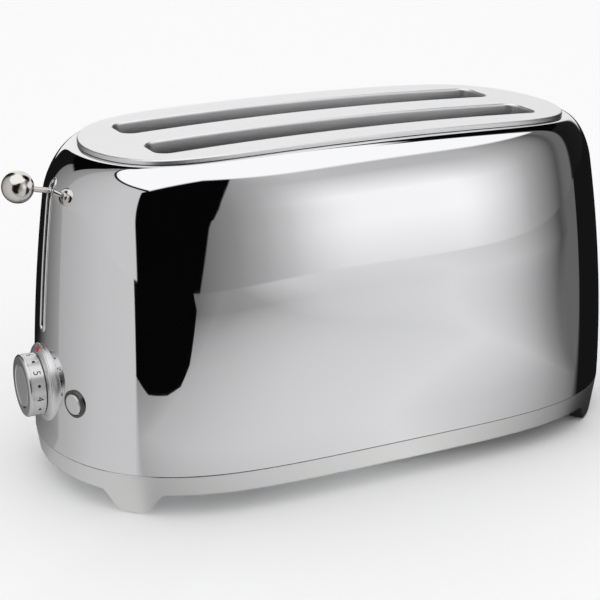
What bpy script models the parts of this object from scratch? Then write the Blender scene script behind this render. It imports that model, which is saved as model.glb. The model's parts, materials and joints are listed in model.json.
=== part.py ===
"""Four-slice toaster with two long slots, made as its separate pieces.

Metres, +Z up. The control end faces -X and the tray end +X. The origin lies on the table, under the
middle of the whole toaster, lever ball included.
"""

import math

import bmesh
import bpy
import numpy as np
from mathutils import Matrix, Vector

MM = 0.001
GAP = 0.3 * MM

# Body outline: half length, half width and height of the three sections that shape its sides
SEAM_Z = 27.4 * MM
WAIST_Z = 73.9 * MM
SHOULDER_Z = 179.6 * MM
SEAM_HALF = (199.2 * MM, 102.8 * MM)
WAIST_HALF = (197.0 * MM, 103.5 * MM)
SHOULDER_HALF = (186.3 * MM, 90.1 * MM)
BODY_POWER = (4.16, 2.01)
SHOULDER_ROUND = 1.54
SHELL_WALL = 1.2 * MM
RING_STEPS = 14
SIDE_LEVELS = 5
SHOULDER_LEVELS = 5

# Top plate, crowned along its length
PLATE_HALF = (163.4 * MM, 68.7 * MM)
PLATE_POWER = (7.3, 1.74)
PLATE_TOP = 215.0 * MM
CROWN_DROP = 4.1 * MM
CROWN_REACH = 150.0 * MM
RIM_DROP = 3.0 * MM
RIM_MARGIN = 2.0 * MM
RIM_FLANGE = 7.0 * MM
PLATE_EDGE = 1.2 * MM

# Bread slots
SLOT_Y = 29.3 * MM
SLOT_HALF = (132.0 * MM, 15.6 * MM)
SLOT_CORNER = 8.5 * MM
LIP_WALL = 1.0 * MM
LIP_BOTTOM = 204.0 * MM
COLLAR_BOTTOM = 184.0 * MM

# Base
BASE_Z = 13.7 * MM
BASE_INSET = 1.8 * MM
SKIRT_WALL = 4.2 * MM
SEAM_GAP = 0.4 * MM
FOOT_POINT = (167.0 * MM, 71.6 * MM)
FOOT_TOP_WIDTH = 43.6 * MM
FOOT_WIDTH = 13.8 * MM
FOOT_STEPS = 6
FOOT_DEPTH = 10.0 * MM
FOOT_Z = 0.9 * MM
PAD_RADIUS = 4.0 * MM
PAD_HEIGHT = 2.6 * MM
FLOOR_Z = (14.6 * MM, 16.0 * MM)
GLAND_SPOT = (138.5 * MM, 66.5 * MM)

# Crumb tray
TRAY_HALF_WIDTH = 57.0 * MM
TRAY_FRONT_HALF = 60.7 * MM
TRAY_END = 176.3 * MM
TRAY_START = -135.0 * MM
TRAY_Z = (16.3 * MM, 24.0 * MM)
TRAY_WALL = 0.8 * MM

# Lever and carriage
BALL_RADIUS = 9.65 * MM
BALL_CENTRE = (-204.5 * MM, 190.2 * MM)
STEM_RADIUS = 1.7 * MM
STEM_TILT = math.radians(12.9)
STEM_END = -169.3 * MM
LEVER_TRAVEL = 78.0 * MM
TRIM_Z = (102.4 * MM, 188.6 * MM)
TRIM_HALF_WIDTH = 3.55 * MM
TRIM_RADIUS = 1.2 * MM
TRIM_SINK = 0.5 * MM
ROD_X = -160.0 * MM
ROD_RADIUS = 2.5 * MM
ROD_Z = (16.6 * MM, 195.7 * MM)
BUSH_RADIUS = 6.5 * MM
SLIDER_Z = (118.0 * MM, 188.0 * MM)
BEAM_X = (-154.0 * MM, -150.6 * MM)
BEAM_Z = (118.0 * MM, 130.0 * MM)
CARRIER_Z = (120.0 * MM, 128.5 * MM)
CARRIER_BARS = 9
SPRING_RADIUS = 4.6 * MM
SPRING_WIRE = 0.5 * MM
SPRING_TURNS = 7

# Heating chamber
END_FRAME_X = 145.0 * MM
SHEET = 1.0 * MM
FRAME_TOP = 200.0 * MM
CARD_THICK = 0.8 * MM
CARD_OFFSET = 21.1 * MM
CARD_Z = (58.0 * MM, 182.0 * MM)
REFLECTOR_OFFSET = 25.5 * MM
GUARD_OFFSET = 14.2 * MM
GUARD_WIRE = 0.9 * MM
GUARD_Z = (54.0 * MM, 181.0 * MM)
GUARD_WIRES = 8
GUARD_HALF_LENGTH = 126.0 * MM

# Browning knob, axis along X
KNOB_Z = 65.0 * MM
KNOB_FACE_X = -210.6 * MM
KNOB_RADIUS = 19.5 * MM
KNOB_ROUND = 1.7 * MM
KNOB_BACK_X = -200.0 * MM
STOP_RADIUS = 12.9 * MM
FLANGE_RADIUS = 24.8 * MM
FLANGE_X = -199.6 * MM
FLANGE_BORE = 5.0 * MM
SHAFT_RADIUS = 3.0 * MM
BOARD_X = (-182.0 * MM, -180.4 * MM)
BOARD_HALF_WIDTH = 46.0 * MM
BOARD_TOP = 96.0 * MM
BOARD_CHAMFER = 6.0 * MM
MAGNET_X = (-171.0 * MM, -158.0 * MM)
MAGNET_Y = (16.0 * MM, 28.0 * MM)
KEEPER_THICK = 1.6 * MM
LATCH_GAP = 0.4 * MM

# Function buttons, one each side of the knob
BUTTON_Y = 41.2 * MM
BUTTON_Z = 64.9 * MM
BUTTON_RADIUS = 6.5 * MM
BEZEL_RADIUS = 8.6 * MM
BEZEL_PROUD = 1.2 * MM
BUTTON_PROUD = 2.2 * MM

# The body is shifted so that the whole toaster, ball to tray end, is centred on the origin
BODY_X = (BALL_RADIUS - BALL_CENTRE[0] - SEAM_HALF[0]) / 2


def clear_scene():
    for item in list(bpy.data.objects):
        bpy.data.objects.remove(item, do_unlink=True)


def new_collection(name):
    group = bpy.data.collections.new(name)
    bpy.context.scene.collection.children.link(group)
    return group


def new_empty(name, location=(0, 0, 0), parent=None):
    item = bpy.data.objects.new(name, None)
    item.empty_display_size = 0.02
    item.location = location
    item.parent = parent
    PARTS.objects.link(item)
    return item


def new_material(name, color, roughness, metallic):
    finish = bpy.data.materials.new(name)
    finish.use_nodes = True
    shader = finish.node_tree.nodes["Principled BSDF"]
    shader.inputs["Base Color"].default_value = (*color, 1.0)
    shader.inputs["Roughness"].default_value = roughness
    shader.inputs["Metallic"].default_value = metallic
    finish.diffuse_color = (*color, 1.0)
    return finish


def place(name, mesh, look=None, location=(0, 0, 0), rotation=(0, 0, 0), parent=None, smooth=True):
    """Adds a mesh as a part, or as a hidden cutter where it has no look."""
    item = bpy.data.objects.new(name, mesh)
    item.location = location
    item.rotation_euler = rotation
    item.parent = parent or BODY
    if look is None:
        item.hide_render = True
        item.display_type = "WIRE"
        CUTTERS.objects.link(item)
        return item
    color, roughness, metallic = look
    mesh.materials.append(new_material(name, color, roughness, metallic))
    if smooth:
        mesh.shade_smooth()
        mesh.set_sharp_from_angle(angle=math.radians(35))
    PARTS.objects.link(item)
    return item


def cut(item, tool, operation="DIFFERENCE"):
    step = item.modifiers.new(f"{operation.lower()}_{tool.name}", "BOOLEAN")
    step.operation = operation
    step.solver = "EXACT"
    step.object = tool
    return item


def bevel(item, width, segments=2, angle=40):
    step = item.modifiers.new("edge", "BEVEL")
    step.width = width
    step.segments = segments
    step.limit_method = "ANGLE"
    step.angle_limit = math.radians(angle)
    return item


def mesh_from(name, build):
    mesh = bpy.data.meshes.new(name)
    bm = bmesh.new()
    build(bm)
    bmesh.ops.recalc_face_normals(bm, faces=bm.faces)
    bm.to_mesh(mesh)
    bm.free()
    return mesh


def box(name, low, high):
    return boxes(name, [(low, high)])


def boxes(name, corners):
    """One mesh of separate blocks, each given by its lowest and highest corner."""
    def build(bm):
        for low, high in corners:
            middle = [(a + b) / 2 for a, b in zip(low, high)]
            size = [b - a for a, b in zip(low, high)]
            spot = Matrix.Translation(middle) @ Matrix.Diagonal((*size, 1))
            bmesh.ops.create_cube(bm, size=1, matrix=spot)
    return mesh_from(name, build)


def cylinder(name, radius, start, end, segments=16):
    return cylinders(name, [(start, end)], radius, segments)


def cylinders(name, runs, radius, segments=16):
    """One mesh of round bars, each given by its two ends."""
    def build(bm):
        for start, end in runs:
            start = Vector(start)
            along = Vector(end) - start
            turn = along.to_track_quat("Z", "Y").to_matrix().to_4x4()
            spot = Matrix.Translation(start + along / 2) @ turn
            bmesh.ops.create_cone(
                bm, cap_ends=True, segments=segments, radius1=radius, radius2=radius,
                depth=along.length, matrix=spot)
    return mesh_from(name, build)


def prism(name, points, half_depth):
    """A flat outline in X and Z, extruded both ways along Y."""
    def build(bm):
        front = [bm.verts.new((x, -half_depth, z)) for x, z in points]
        face = bm.faces.new(front)
        grown = bmesh.ops.extrude_face_region(bm, geom=[face])["geom"]
        moved = [v for v in grown if isinstance(v, bmesh.types.BMVert)]
        bmesh.ops.translate(bm, vec=(0, 2 * half_depth, 0), verts=moved)
    return mesh_from(name, build)


def loft(name, rings, ends="open"):
    """Skin over rings with the same number of points: open, capped, or joined last to first."""
    def build(bm):
        rows = [[bm.verts.new(p) for p in ring] for ring in rings]
        pairs = list(zip(rows, rows[1:]))
        if ends == "joined":
            pairs.append((rows[-1], rows[0]))
        count = len(rows[0])
        for lower, upper in pairs:
            for k in range(count):
                n = (k + 1) % count
                bm.faces.new((lower[k], lower[n], upper[n], upper[k]))
        if ends == "capped":
            bm.faces.new(rows[0][::-1])
            bm.faces.new(rows[-1])
    return mesh_from(name, build)


def crowned_slab(name, stations, top, bottom, centre_y=0.0):
    """A slab whose upper and lower faces follow a height along X. A station is an x and a half width."""
    def build(bm):
        sides = []
        for x, half in stations:
            column = {}
            for sign in (1, -1):
                if sign == -1 and half < 1e-6:
                    column[sign] = column[1]
                    continue
                y = centre_y + sign * half
                column[sign] = (bm.verts.new((x, y, bottom(x))), bm.verts.new((x, y, top(x))))
            sides.append(column)
        for here, after in zip(sides, sides[1:]):
            for level in (0, 1):
                corners = [here[1][level], after[1][level], after[-1][level], here[-1][level]]
                bm.faces.new(list(dict.fromkeys(corners)))
            for sign in (1, -1):
                bm.faces.new((here[sign][0], after[sign][0], after[sign][1], here[sign][1]))
        for column in (sides[0], sides[-1]):
            if column[1] is not column[-1]:
                bm.faces.new((column[1][0], column[-1][0], column[-1][1], column[1][1]))
    return mesh_from(name, build)


def turned(name, profile, look=None, location=(0, 0, 0), rotation=(0, 0, 0), parent=None,
           steps=40, ring=False):
    """A lathe shape: the profile's radius and height run down the outer side. A ring's profile closes."""
    mesh = bpy.data.meshes.new(name)
    edges = [(k, k + 1) for k in range(len(profile) - 1)]
    if ring:
        edges.append((len(profile) - 1, 0))
    mesh.from_pydata([(r, 0, z) for r, z in profile], edges, [])
    item = place(name, mesh, look, location, rotation, parent, smooth=False)
    step = item.modifiers.new("turn", "SCREW")
    step.steps = steps
    step.render_steps = steps
    step.use_merge_vertices = True
    step.merge_threshold = 0.00001
    step.use_smooth_shade = False
    return item


def wire_mesh(name, points, radius, closed=False, resolution=1):
    """A round wire along a line of points, as a welded mesh."""
    curve = bpy.data.curves.new(name, "CURVE")
    curve.dimensions = "3D"
    curve.bevel_depth = radius
    curve.bevel_resolution = resolution
    curve.use_fill_caps = not closed
    line = curve.splines.new("POLY")
    line.points.add(len(points) - 1)
    for spot, point in zip(line.points, points):
        spot.co = (*point, 1)
    line.use_cyclic_u = closed
    holder = bpy.data.objects.new(name + "_curve", curve)
    bpy.context.scene.collection.objects.link(holder)
    graph = bpy.context.evaluated_depsgraph_get()
    mesh = bpy.data.meshes.new_from_object(holder.evaluated_get(graph))
    mesh.name = name
    bpy.data.objects.remove(holder)
    bm = bmesh.new()
    bm.from_mesh(mesh)
    bmesh.ops.remove_doubles(bm, verts=bm.verts, dist=1e-6)
    bmesh.ops.recalc_face_normals(bm, faces=bm.faces)
    bm.to_mesh(mesh)
    bm.free()
    return mesh


def power_point(half, power, angle):
    """A point on a rounded outline: |x/a|**n + |y/b|**m = 1."""
    c, s = math.cos(angle), math.sin(angle)
    x = half[0] * math.copysign(abs(c) ** (2 / power[0]), c)
    y = half[1] * math.copysign(abs(s) ** (2 / power[1]), s)
    return x, y


def ring_angles(steps):
    """Angles round a ring, spaced for even length and even turning in each quarter."""
    fine = np.linspace(0, math.pi / 2, 2001)
    line = np.array([power_point(SEAM_HALF, BODY_POWER, t) for t in fine])
    run = np.diff(line, axis=0)
    length = np.hypot(run[:, 0], run[:, 1])
    heading = np.unwrap(np.arctan2(run[:, 1], run[:, 0]))
    turning = np.abs(np.gradient(heading))
    travel = np.cumsum(length / length.sum() + 1.2 * turning / turning.sum())
    travel = np.concatenate([[0], travel]) / travel[-1]
    quarter = np.interp(np.linspace(0, 1, steps + 1), travel, fine)
    quarter[0], quarter[-1] = 0, math.pi / 2
    half_turn = list(quarter) + [math.pi - t for t in quarter[-2::-1]]
    return half_turn + [math.pi + t for t in half_turn[1:-1]]


ANGLES = ring_angles(RING_STEPS)


def half_sizes(z):
    """Half length and half width of the body's side at a height, through the three sections."""
    z0, z1, z2 = SEAM_Z, WAIST_Z, SHOULDER_Z
    w0 = (z - z1) * (z - z2) / ((z0 - z1) * (z0 - z2))
    w1 = (z - z0) * (z - z2) / ((z1 - z0) * (z1 - z2))
    w2 = (z - z0) * (z - z1) / ((z2 - z0) * (z2 - z1))
    return tuple(
        w0 * SEAM_HALF[k] + w1 * WAIST_HALF[k] + w2 * SHOULDER_HALF[k] for k in (0, 1))


def crown(x):
    """Height of the plate's top along its length."""
    return PLATE_TOP - CROWN_DROP * (x / CROWN_REACH) ** 2


def flat_ring(half, power, z):
    return [Vector((*power_point(half, power, t), z)) for t in ANGLES]


def side_ring(z, grow=0.0):
    a, b = half_sizes(z)
    return flat_ring((a + grow, b + grow), BODY_POWER, z)


def shoulder_section(part):
    """Half sizes, powers and height share of the shoulder, from 0 at the side to 1 at the rim."""
    angle = part * math.pi / 2
    inward = 1 - math.cos(angle) ** (2 / SHOULDER_ROUND)
    rise = math.sin(angle) ** (2 / SHOULDER_ROUND)
    half = [s + (p + RIM_MARGIN - s) * inward for s, p in zip(SHOULDER_HALF, PLATE_HALF)]
    power = [s + (p - s) * inward for s, p in zip(BODY_POWER, PLATE_POWER)]
    return half, power, rise


def shoulder_ring(part):
    half, power, rise = shoulder_section(part)
    ring = []
    for t in ANGLES:
        x, y = power_point(half, power, t)
        rim = crown(x) - RIM_DROP
        ring.append(Vector((x, y, SHOULDER_Z + (rim - SHOULDER_Z) * rise)))
    return ring


def section_x(half, power, y):
    return half[0] * (1 - abs(y / half[1]) ** power[1]) ** (1 / power[0])


def end_surface_x(y, z):
    """How far the body's end reaches from its middle at a place on the end."""
    if z <= SHOULDER_Z:
        return section_x(half_sizes(z), BODY_POWER, y)
    low, high = 0.0, 1.0
    for _ in range(40):
        part = (low + high) / 2
        half, power, rise = shoulder_section(part)
        x = section_x(half, power, y)
        height = SHOULDER_Z + (crown(x) - RIM_DROP - SHOULDER_Z) * rise
        low, high = (part, high) if height < z else (low, part)
    return x


# Looks of the pieces: colour, roughness and metallic value
CHROME = ((0.80, 0.80, 0.82), 0.05, 1.0)
SATIN = ((0.72, 0.72, 0.73), 0.32, 1.0)
BASE_GREY = ((0.60, 0.60, 0.59), 0.38, 1.0)
DARK_STEEL = ((0.10, 0.10, 0.10), 0.45, 1.0)
ZINC = ((0.55, 0.56, 0.57), 0.40, 1.0)
MICA = ((0.62, 0.55, 0.42), 0.60, 0.0)
RUBBER = ((0.05, 0.05, 0.05), 0.80, 0.0)
DARK_PLASTIC = ((0.07, 0.07, 0.075), 0.45, 0.0)
LIGHT_PLASTIC = ((0.62, 0.62, 0.63), 0.35, 0.0)
BOARD_GREEN = ((0.05, 0.20, 0.10), 0.50, 0.0)
COPPER = ((0.72, 0.38, 0.20), 0.35, 1.0)
RED = ((0.65, 0.05, 0.06), 0.30, 0.0)
ALUMINIUM = ((0.75, 0.75, 0.76), 0.35, 1.0)


def capsule(centre_low, centre_high, radius, steps=6):
    """Outline in Y and Z of a vertical slot with round ends."""
    points = []
    for centre, start in ((centre_high, 0.0), (centre_low, math.pi)):
        for k in range(steps + 1):
            angle = start + math.pi * k / steps
            points.append((radius * math.cos(angle), centre + radius * math.sin(angle)))
    return points


def make_outer_shell():
    heights = np.linspace(SEAM_Z + SEAM_GAP / 2, SHOULDER_Z, SIDE_LEVELS)
    rings = [side_ring(z) for z in heights]
    rings += [shoulder_ring(k / SHOULDER_LEVELS) for k in range(1, SHOULDER_LEVELS + 1)]
    rim_half = [p + RIM_MARGIN - RIM_FLANGE for p in PLATE_HALF]
    flange = []
    for t in ANGLES:
        x, y = power_point(rim_half, PLATE_POWER, t)
        flange.append(Vector((x, y, crown(x) - RIM_DROP)))
    rings.append(flange)
    shell = place("outer_shell", loft("outer_shell", rings), CHROME)
    wall = shell.modifiers.new("wall", "SOLIDIFY")
    wall.thickness = SHELL_WALL
    wall.offset = -1
    wall.use_even_offset = True

    outline = capsule(*TRIM_Z, TRIM_HALF_WIDTH + TRIM_RADIUS + GAP)
    slot = place("lever_slot_cutter", prism("lever_slot_cutter", outline, 25 * MM),
                 location=(-190 * MM, 0, 0), rotation=(0, 0, math.pi / 2))
    cut(shell, slot)
    shaft = cylinder("shaft_hole_cutter", FLANGE_BORE, (-230 * MM, 0, KNOB_Z), (-185 * MM, 0, KNOB_Z))
    cut(shell, place("shaft_hole_cutter", shaft))
    for side in (-1, 1):
        name = f"button_hole_cutter_{'near' if side < 0 else 'far'}"
        hole = cylinder(name, BUTTON_RADIUS + 1.6 * MM, (0, 0, -12 * MM), (0, 0, 12 * MM))
        cut(shell, place(name, hole, parent=button_axis(side)))


def button_axis(side):
    """An empty on the shell's end, its Z pointing out of the surface where a button sits."""
    name = f"button_axis_{'near' if side < 0 else 'far'}"
    if name in bpy.data.objects:
        return bpy.data.objects[name]
    y = side * BUTTON_Y
    step = 0.5 * MM
    slope = (end_surface_x(y + step, BUTTON_Z) - end_surface_x(y - step, BUTTON_Z)) / (2 * step)
    out = Vector((-1, -slope, 0)).normalized()
    axis = new_empty(name, (-end_surface_x(y, BUTTON_Z), y, BUTTON_Z), BODY)
    axis.rotation_mode = "QUATERNION"
    axis.rotation_quaternion = out.to_track_quat("Z", "Y")
    print(name, "points", [round(v, 4) for v in out])
    return axis


def slot_stations(half, corner, steps=3, runs=7):
    """Half widths along a slot with rounded corners, from one end to the other."""
    length, width = half
    start = []
    for k in range(steps + 1):
        angle = math.pi / 2 * k / steps
        start.append((-length + corner - corner * math.cos(angle),
                      width - corner + corner * math.sin(angle)))
    straight = length - corner
    middle = [(-straight + 2 * straight * k / runs, width) for k in range(1, runs)]
    return start + middle + [(-x, w) for x, w in start[::-1]]


def make_top_plate():
    stations = [power_point(PLATE_HALF, PLATE_POWER, t) for t in ANGLES[:2 * RING_STEPS + 1]][::-1]
    stations = [(x, max(y, 0.0)) for x, y in stations]
    slab = crowned_slab("top_plate", stations, crown, lambda x: crown(x) - RIM_DROP + GAP)
    plate = bevel(place("top_plate", slab, SATIN), PLATE_EDGE)
    for side, tag in ((-1, "near"), (1, "far")):
        centre = side * SLOT_Y
        outer = [s + LIP_WALL for s in SLOT_HALF]
        lips = crowned_slab(f"lip_block_{tag}", slot_stations(outer, SLOT_CORNER + LIP_WALL),
                            lambda x: crown(x) - PLATE_EDGE, lambda x: LIP_BOTTOM, centre)
        cut(plate, place(f"lip_block_{tag}", lips), "UNION")
    for side, tag in ((-1, "near"), (1, "far")):
        hole = crowned_slab(f"slot_cutter_{tag}", slot_stations(SLOT_HALF, SLOT_CORNER, runs=1),
                            lambda x: PLATE_TOP + 5 * MM, lambda x: COLLAR_BOTTOM - 5 * MM,
                            side * SLOT_Y)
        cut(plate, place(f"slot_cutter_{tag}", hole))


def make_slot_collars():
    """Dark sheet collars that carry the slots on down from the plate's lips."""
    outer = [s + LIP_WALL for s in SLOT_HALF]
    for side, tag in ((-1, "near"), (1, "far")):
        name = f"slot_collar_{tag}"
        wall = crowned_slab(name, slot_stations(outer, SLOT_CORNER + LIP_WALL, runs=1),
                            lambda x: LIP_BOTTOM - GAP, lambda x: COLLAR_BOTTOM, side * SLOT_Y)
        cut(place(name, wall, DARK_STEEL), bpy.data.objects[f"slot_cutter_{tag}"])


def grown(half, amount):
    return [h + amount for h in half]


def outline_normal(point):
    """Direction out of the body's outline at a plan point on it."""
    x, y = point[:2]
    (a, b), (n, m) = SEAM_HALF, BODY_POWER
    slope_x = n * (abs(x) / a) ** (n - 1) / a
    slope_y = m * (abs(y) / b) ** (m - 1) / b
    return Vector((math.copysign(slope_x, x), math.copysign(slope_y, y), 0)).normalized()


def foot_outline():
    """Front view of a foot, a bell that flares up to the skirt."""
    low, high = FOOT_Z, BASE_Z + 0.9 * MM
    flare = (FOOT_TOP_WIDTH - FOOT_WIDTH) / 2
    right = [(FOOT_WIDTH / 2 - 1.2 * MM, low)]
    for k in range(1, FOOT_STEPS + 1):
        u = k / FOOT_STEPS
        right.append((FOOT_WIDTH / 2 + flare * u, low + (high - low) * (1 - math.cos(math.pi * u)) / 2))
    return right + [(-s, z) for s, z in right[::-1]]


def make_base():
    skirt_rings = [
        flat_ring(grown(SEAM_HALF, -BASE_INSET), BODY_POWER, BASE_Z),
        flat_ring(SEAM_HALF, BODY_POWER, SEAM_Z - SEAM_GAP / 2),
        flat_ring(grown(SEAM_HALF, -SKIRT_WALL), BODY_POWER, SEAM_Z - SEAM_GAP / 2),
        flat_ring(grown(SEAM_HALF, -SKIRT_WALL), BODY_POWER, BASE_Z),
    ]
    skirt = place("base_skirt", loft("base_skirt", skirt_rings, "joined"), BASE_GREY)

    lean = BASE_INSET / (SEAM_Z - BASE_Z)
    foot_top = BASE_Z + 0.4 * MM
    inset_top = BASE_INSET - 0.4 * MM * lean
    inset_low = BASE_INSET + (BASE_Z - FOOT_Z) * lean
    band_rings = [
        flat_ring(grown(SEAM_HALF, -inset_low), BODY_POWER, FOOT_Z),
        flat_ring(grown(SEAM_HALF, -inset_top), BODY_POWER, foot_top),
        flat_ring(grown(SEAM_HALF, -inset_low - FOOT_DEPTH), BODY_POWER, foot_top),
        flat_ring(grown(SEAM_HALF, -inset_low - FOOT_DEPTH), BODY_POWER, FOOT_Z),
    ]
    band = place("foot_band", loft("foot_band", band_rings, "joined"))
    corners = bpy.data.meshes.new("foot_blocks")
    gathered = bmesh.new()
    pads = []
    for sx in (-1, 1):
        for sy in (-1, 1):
            spot = Vector((sx * FOOT_POINT[0], sy * FOOT_POINT[1], 0))
            out = outline_normal(spot)
            block = prism("foot_block", foot_outline(), 22 * MM)
            turn = Matrix.Rotation(math.atan2(out.y, out.x) - math.pi / 2, 4, "Z")
            block.transform(Matrix.Translation(spot) @ turn)
            gathered.from_mesh(block)
            bpy.data.meshes.remove(block)
            pads.append(spot - out * (inset_low + FOOT_DEPTH / 2))
    gathered.to_mesh(corners)
    gathered.free()
    cut(band, place("foot_blocks", corners), "INTERSECT")
    cut(skirt, band, "UNION")

    runs = [((p.x, p.y, -5 * MM), (p.x, p.y, PAD_HEIGHT + GAP)) for p in pads]
    cut(skirt, place("pad_cutter", cylinders("pad_cutter", runs, PAD_RADIUS + GAP, 12)))
    for name, p in zip(("front_far", "front_near", "rear_near", "rear_far"),
                       (pads[1], pads[0], pads[2], pads[3])):
        pad = cylinder(f"foot_pad_{name}", PAD_RADIUS, (0, 0, 0), (0, 0, PAD_HEIGHT), 12)
        place(f"foot_pad_{name}", pad, RUBBER, location=p)

    opening = box("tray_opening", (120 * MM, -TRAY_FRONT_HALF - GAP, FLOOR_Z[1] + GAP),
                  (230 * MM, TRAY_FRONT_HALF + GAP, 40 * MM))
    cut(skirt, place("tray_opening", opening))


def make_bottom_plate():
    half = grown(SEAM_HALF, -SKIRT_WALL - GAP)
    rings = [flat_ring(half, BODY_POWER, z) for z in FLOOR_Z]
    floor = place("bottom_plate", loft("bottom_plate", rings, "capped"), ZINC)
    vents = []
    for k in range(5):
        x = (k - 2) * 40 * MM
        for side in (-1, 1):
            y = side * 72 * MM
            vents.append(((x - 11 * MM, y - 2 * MM, 0), (x + 11 * MM, y + 2 * MM, 30 * MM)))
    cut(floor, place("vent_cutter", boxes("vent_cutter", vents)))
    spots = [(sx * 128 * MM, sy * 73 * MM) for sx in (-1, 1) for sy in (-1, 1)]
    holes = [((x, y, 0), (x, y, 30 * MM)) for x, y in spots]
    cut(floor, place("screw_hole_cutter", cylinders("screw_hole_cutter", holes, 2.1 * MM, 8)))
    gland_x, gland_y = GLAND_SPOT
    hole = cylinder("gland_hole_cutter", 4.3 * MM, (gland_x, gland_y, 0), (gland_x, gland_y, 30 * MM))
    cut(floor, place("gland_hole_cutter", hole))
    head = FLOOR_Z[0] - GAP
    profile = [(0, 8 * MM), (1.6 * MM, 8 * MM), (1.6 * MM, 0), (3.4 * MM, 0), (3.4 * MM, -0.9 * MM),
               (0, -1.6 * MM)]
    for number, (x, y) in enumerate(spots, 1):
        turned(f"base_screw_{number}", profile, ZINC, (x, y, head), steps=8)
    collar = [(3.9 * MM, 9 * MM), (3.9 * MM, -1.4 * MM + GAP), (5.4 * MM, -1.4 * MM + GAP),
              (4.6 * MM, -4.2 * MM), (2.7 * MM, -4.2 * MM), (2.7 * MM, 9 * MM)]
    low = FLOOR_Z[1] - 0.3 * MM - GAP
    turned("cord_gland", collar, RUBBER, (gland_x, gland_y, low), steps=16, ring=True)
    block = box("terminal_block", (148.5 * MM, -72 * MM, FLOOR_Z[1] + GAP),
                (158 * MM, -60.7 * MM, FLOOR_Z[1] + 13 * MM))
    bevel(place("terminal_block", block, LIGHT_PLASTIC), 0.8 * MM, 1)


def make_crumb_tray():
    low, high = TRAY_Z
    pan_low = (TRAY_START, -TRAY_HALF_WIDTH, low)
    pan_high = (TRAY_END - GAP, TRAY_HALF_WIDTH, high)
    tray = new_empty("crumb_tray_slide", (TRAY_END, 0, low), BODY)
    back = Vector((-TRAY_END, 0, -low))
    pan = place("crumb_tray_pan", box("crumb_tray_pan", pan_low, pan_high), ALUMINIUM,
                location=back, parent=tray)
    inner = box("pan_cutter", [v + TRAY_WALL for v in pan_low],
                (pan_high[0] - TRAY_WALL, pan_high[1] - TRAY_WALL, 40 * MM))
    cut(pan, place("pan_cutter", inner))

    rings = [flat_ring(grown(SEAM_HALF, -BASE_INSET), BODY_POWER, BASE_Z),
             flat_ring(SEAM_HALF, BODY_POWER, SEAM_Z - SEAM_GAP / 2)]
    front = place("crumb_tray_front", loft("crumb_tray_front", rings, "capped"), BASE_GREY,
                  location=back, parent=tray)
    keep = box("tray_front_block", (TRAY_END, -TRAY_FRONT_HALF, FLOOR_Z[1] + 2 * GAP),
               (230 * MM, TRAY_FRONT_HALF, 40 * MM))
    cut(front, place("tray_front_block", keep), "INTERSECT")
    grip = cylinder("finger_groove", 3 * MM, (195.8 * MM, -30 * MM, 15.6 * MM),
                    (195.8 * MM, 30 * MM, 15.6 * MM))
    cut(front, place("finger_groove", grip))


def make_lever_trim():
    round_steps = 6
    path = capsule(*TRIM_Z, TRIM_HALF_WIDTH, round_steps)
    low, high = TRIM_Z
    runs = 7
    right = [(TRIM_HALF_WIDTH, low + (high - low) * k / runs) for k in range(1, runs)]
    left = [(-y, z) for y, z in right[::-1]]
    upper, lower = path[:round_steps + 1], path[round_steps + 1:]
    loop = upper + left + lower + right
    points = [(-end_surface_x(y, z) + TRIM_SINK, y, z) for y, z in loop]
    rim = wire_mesh("lever_slot_trim", points, TRIM_RADIUS, closed=True)
    place("lever_slot_trim", rim, CHROME)


def along_stem(x):
    """Height of the lever stem's middle at a place along X."""
    return BALL_CENTRE[1] - (x - BALL_CENTRE[0]) * math.tan(STEM_TILT)


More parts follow.
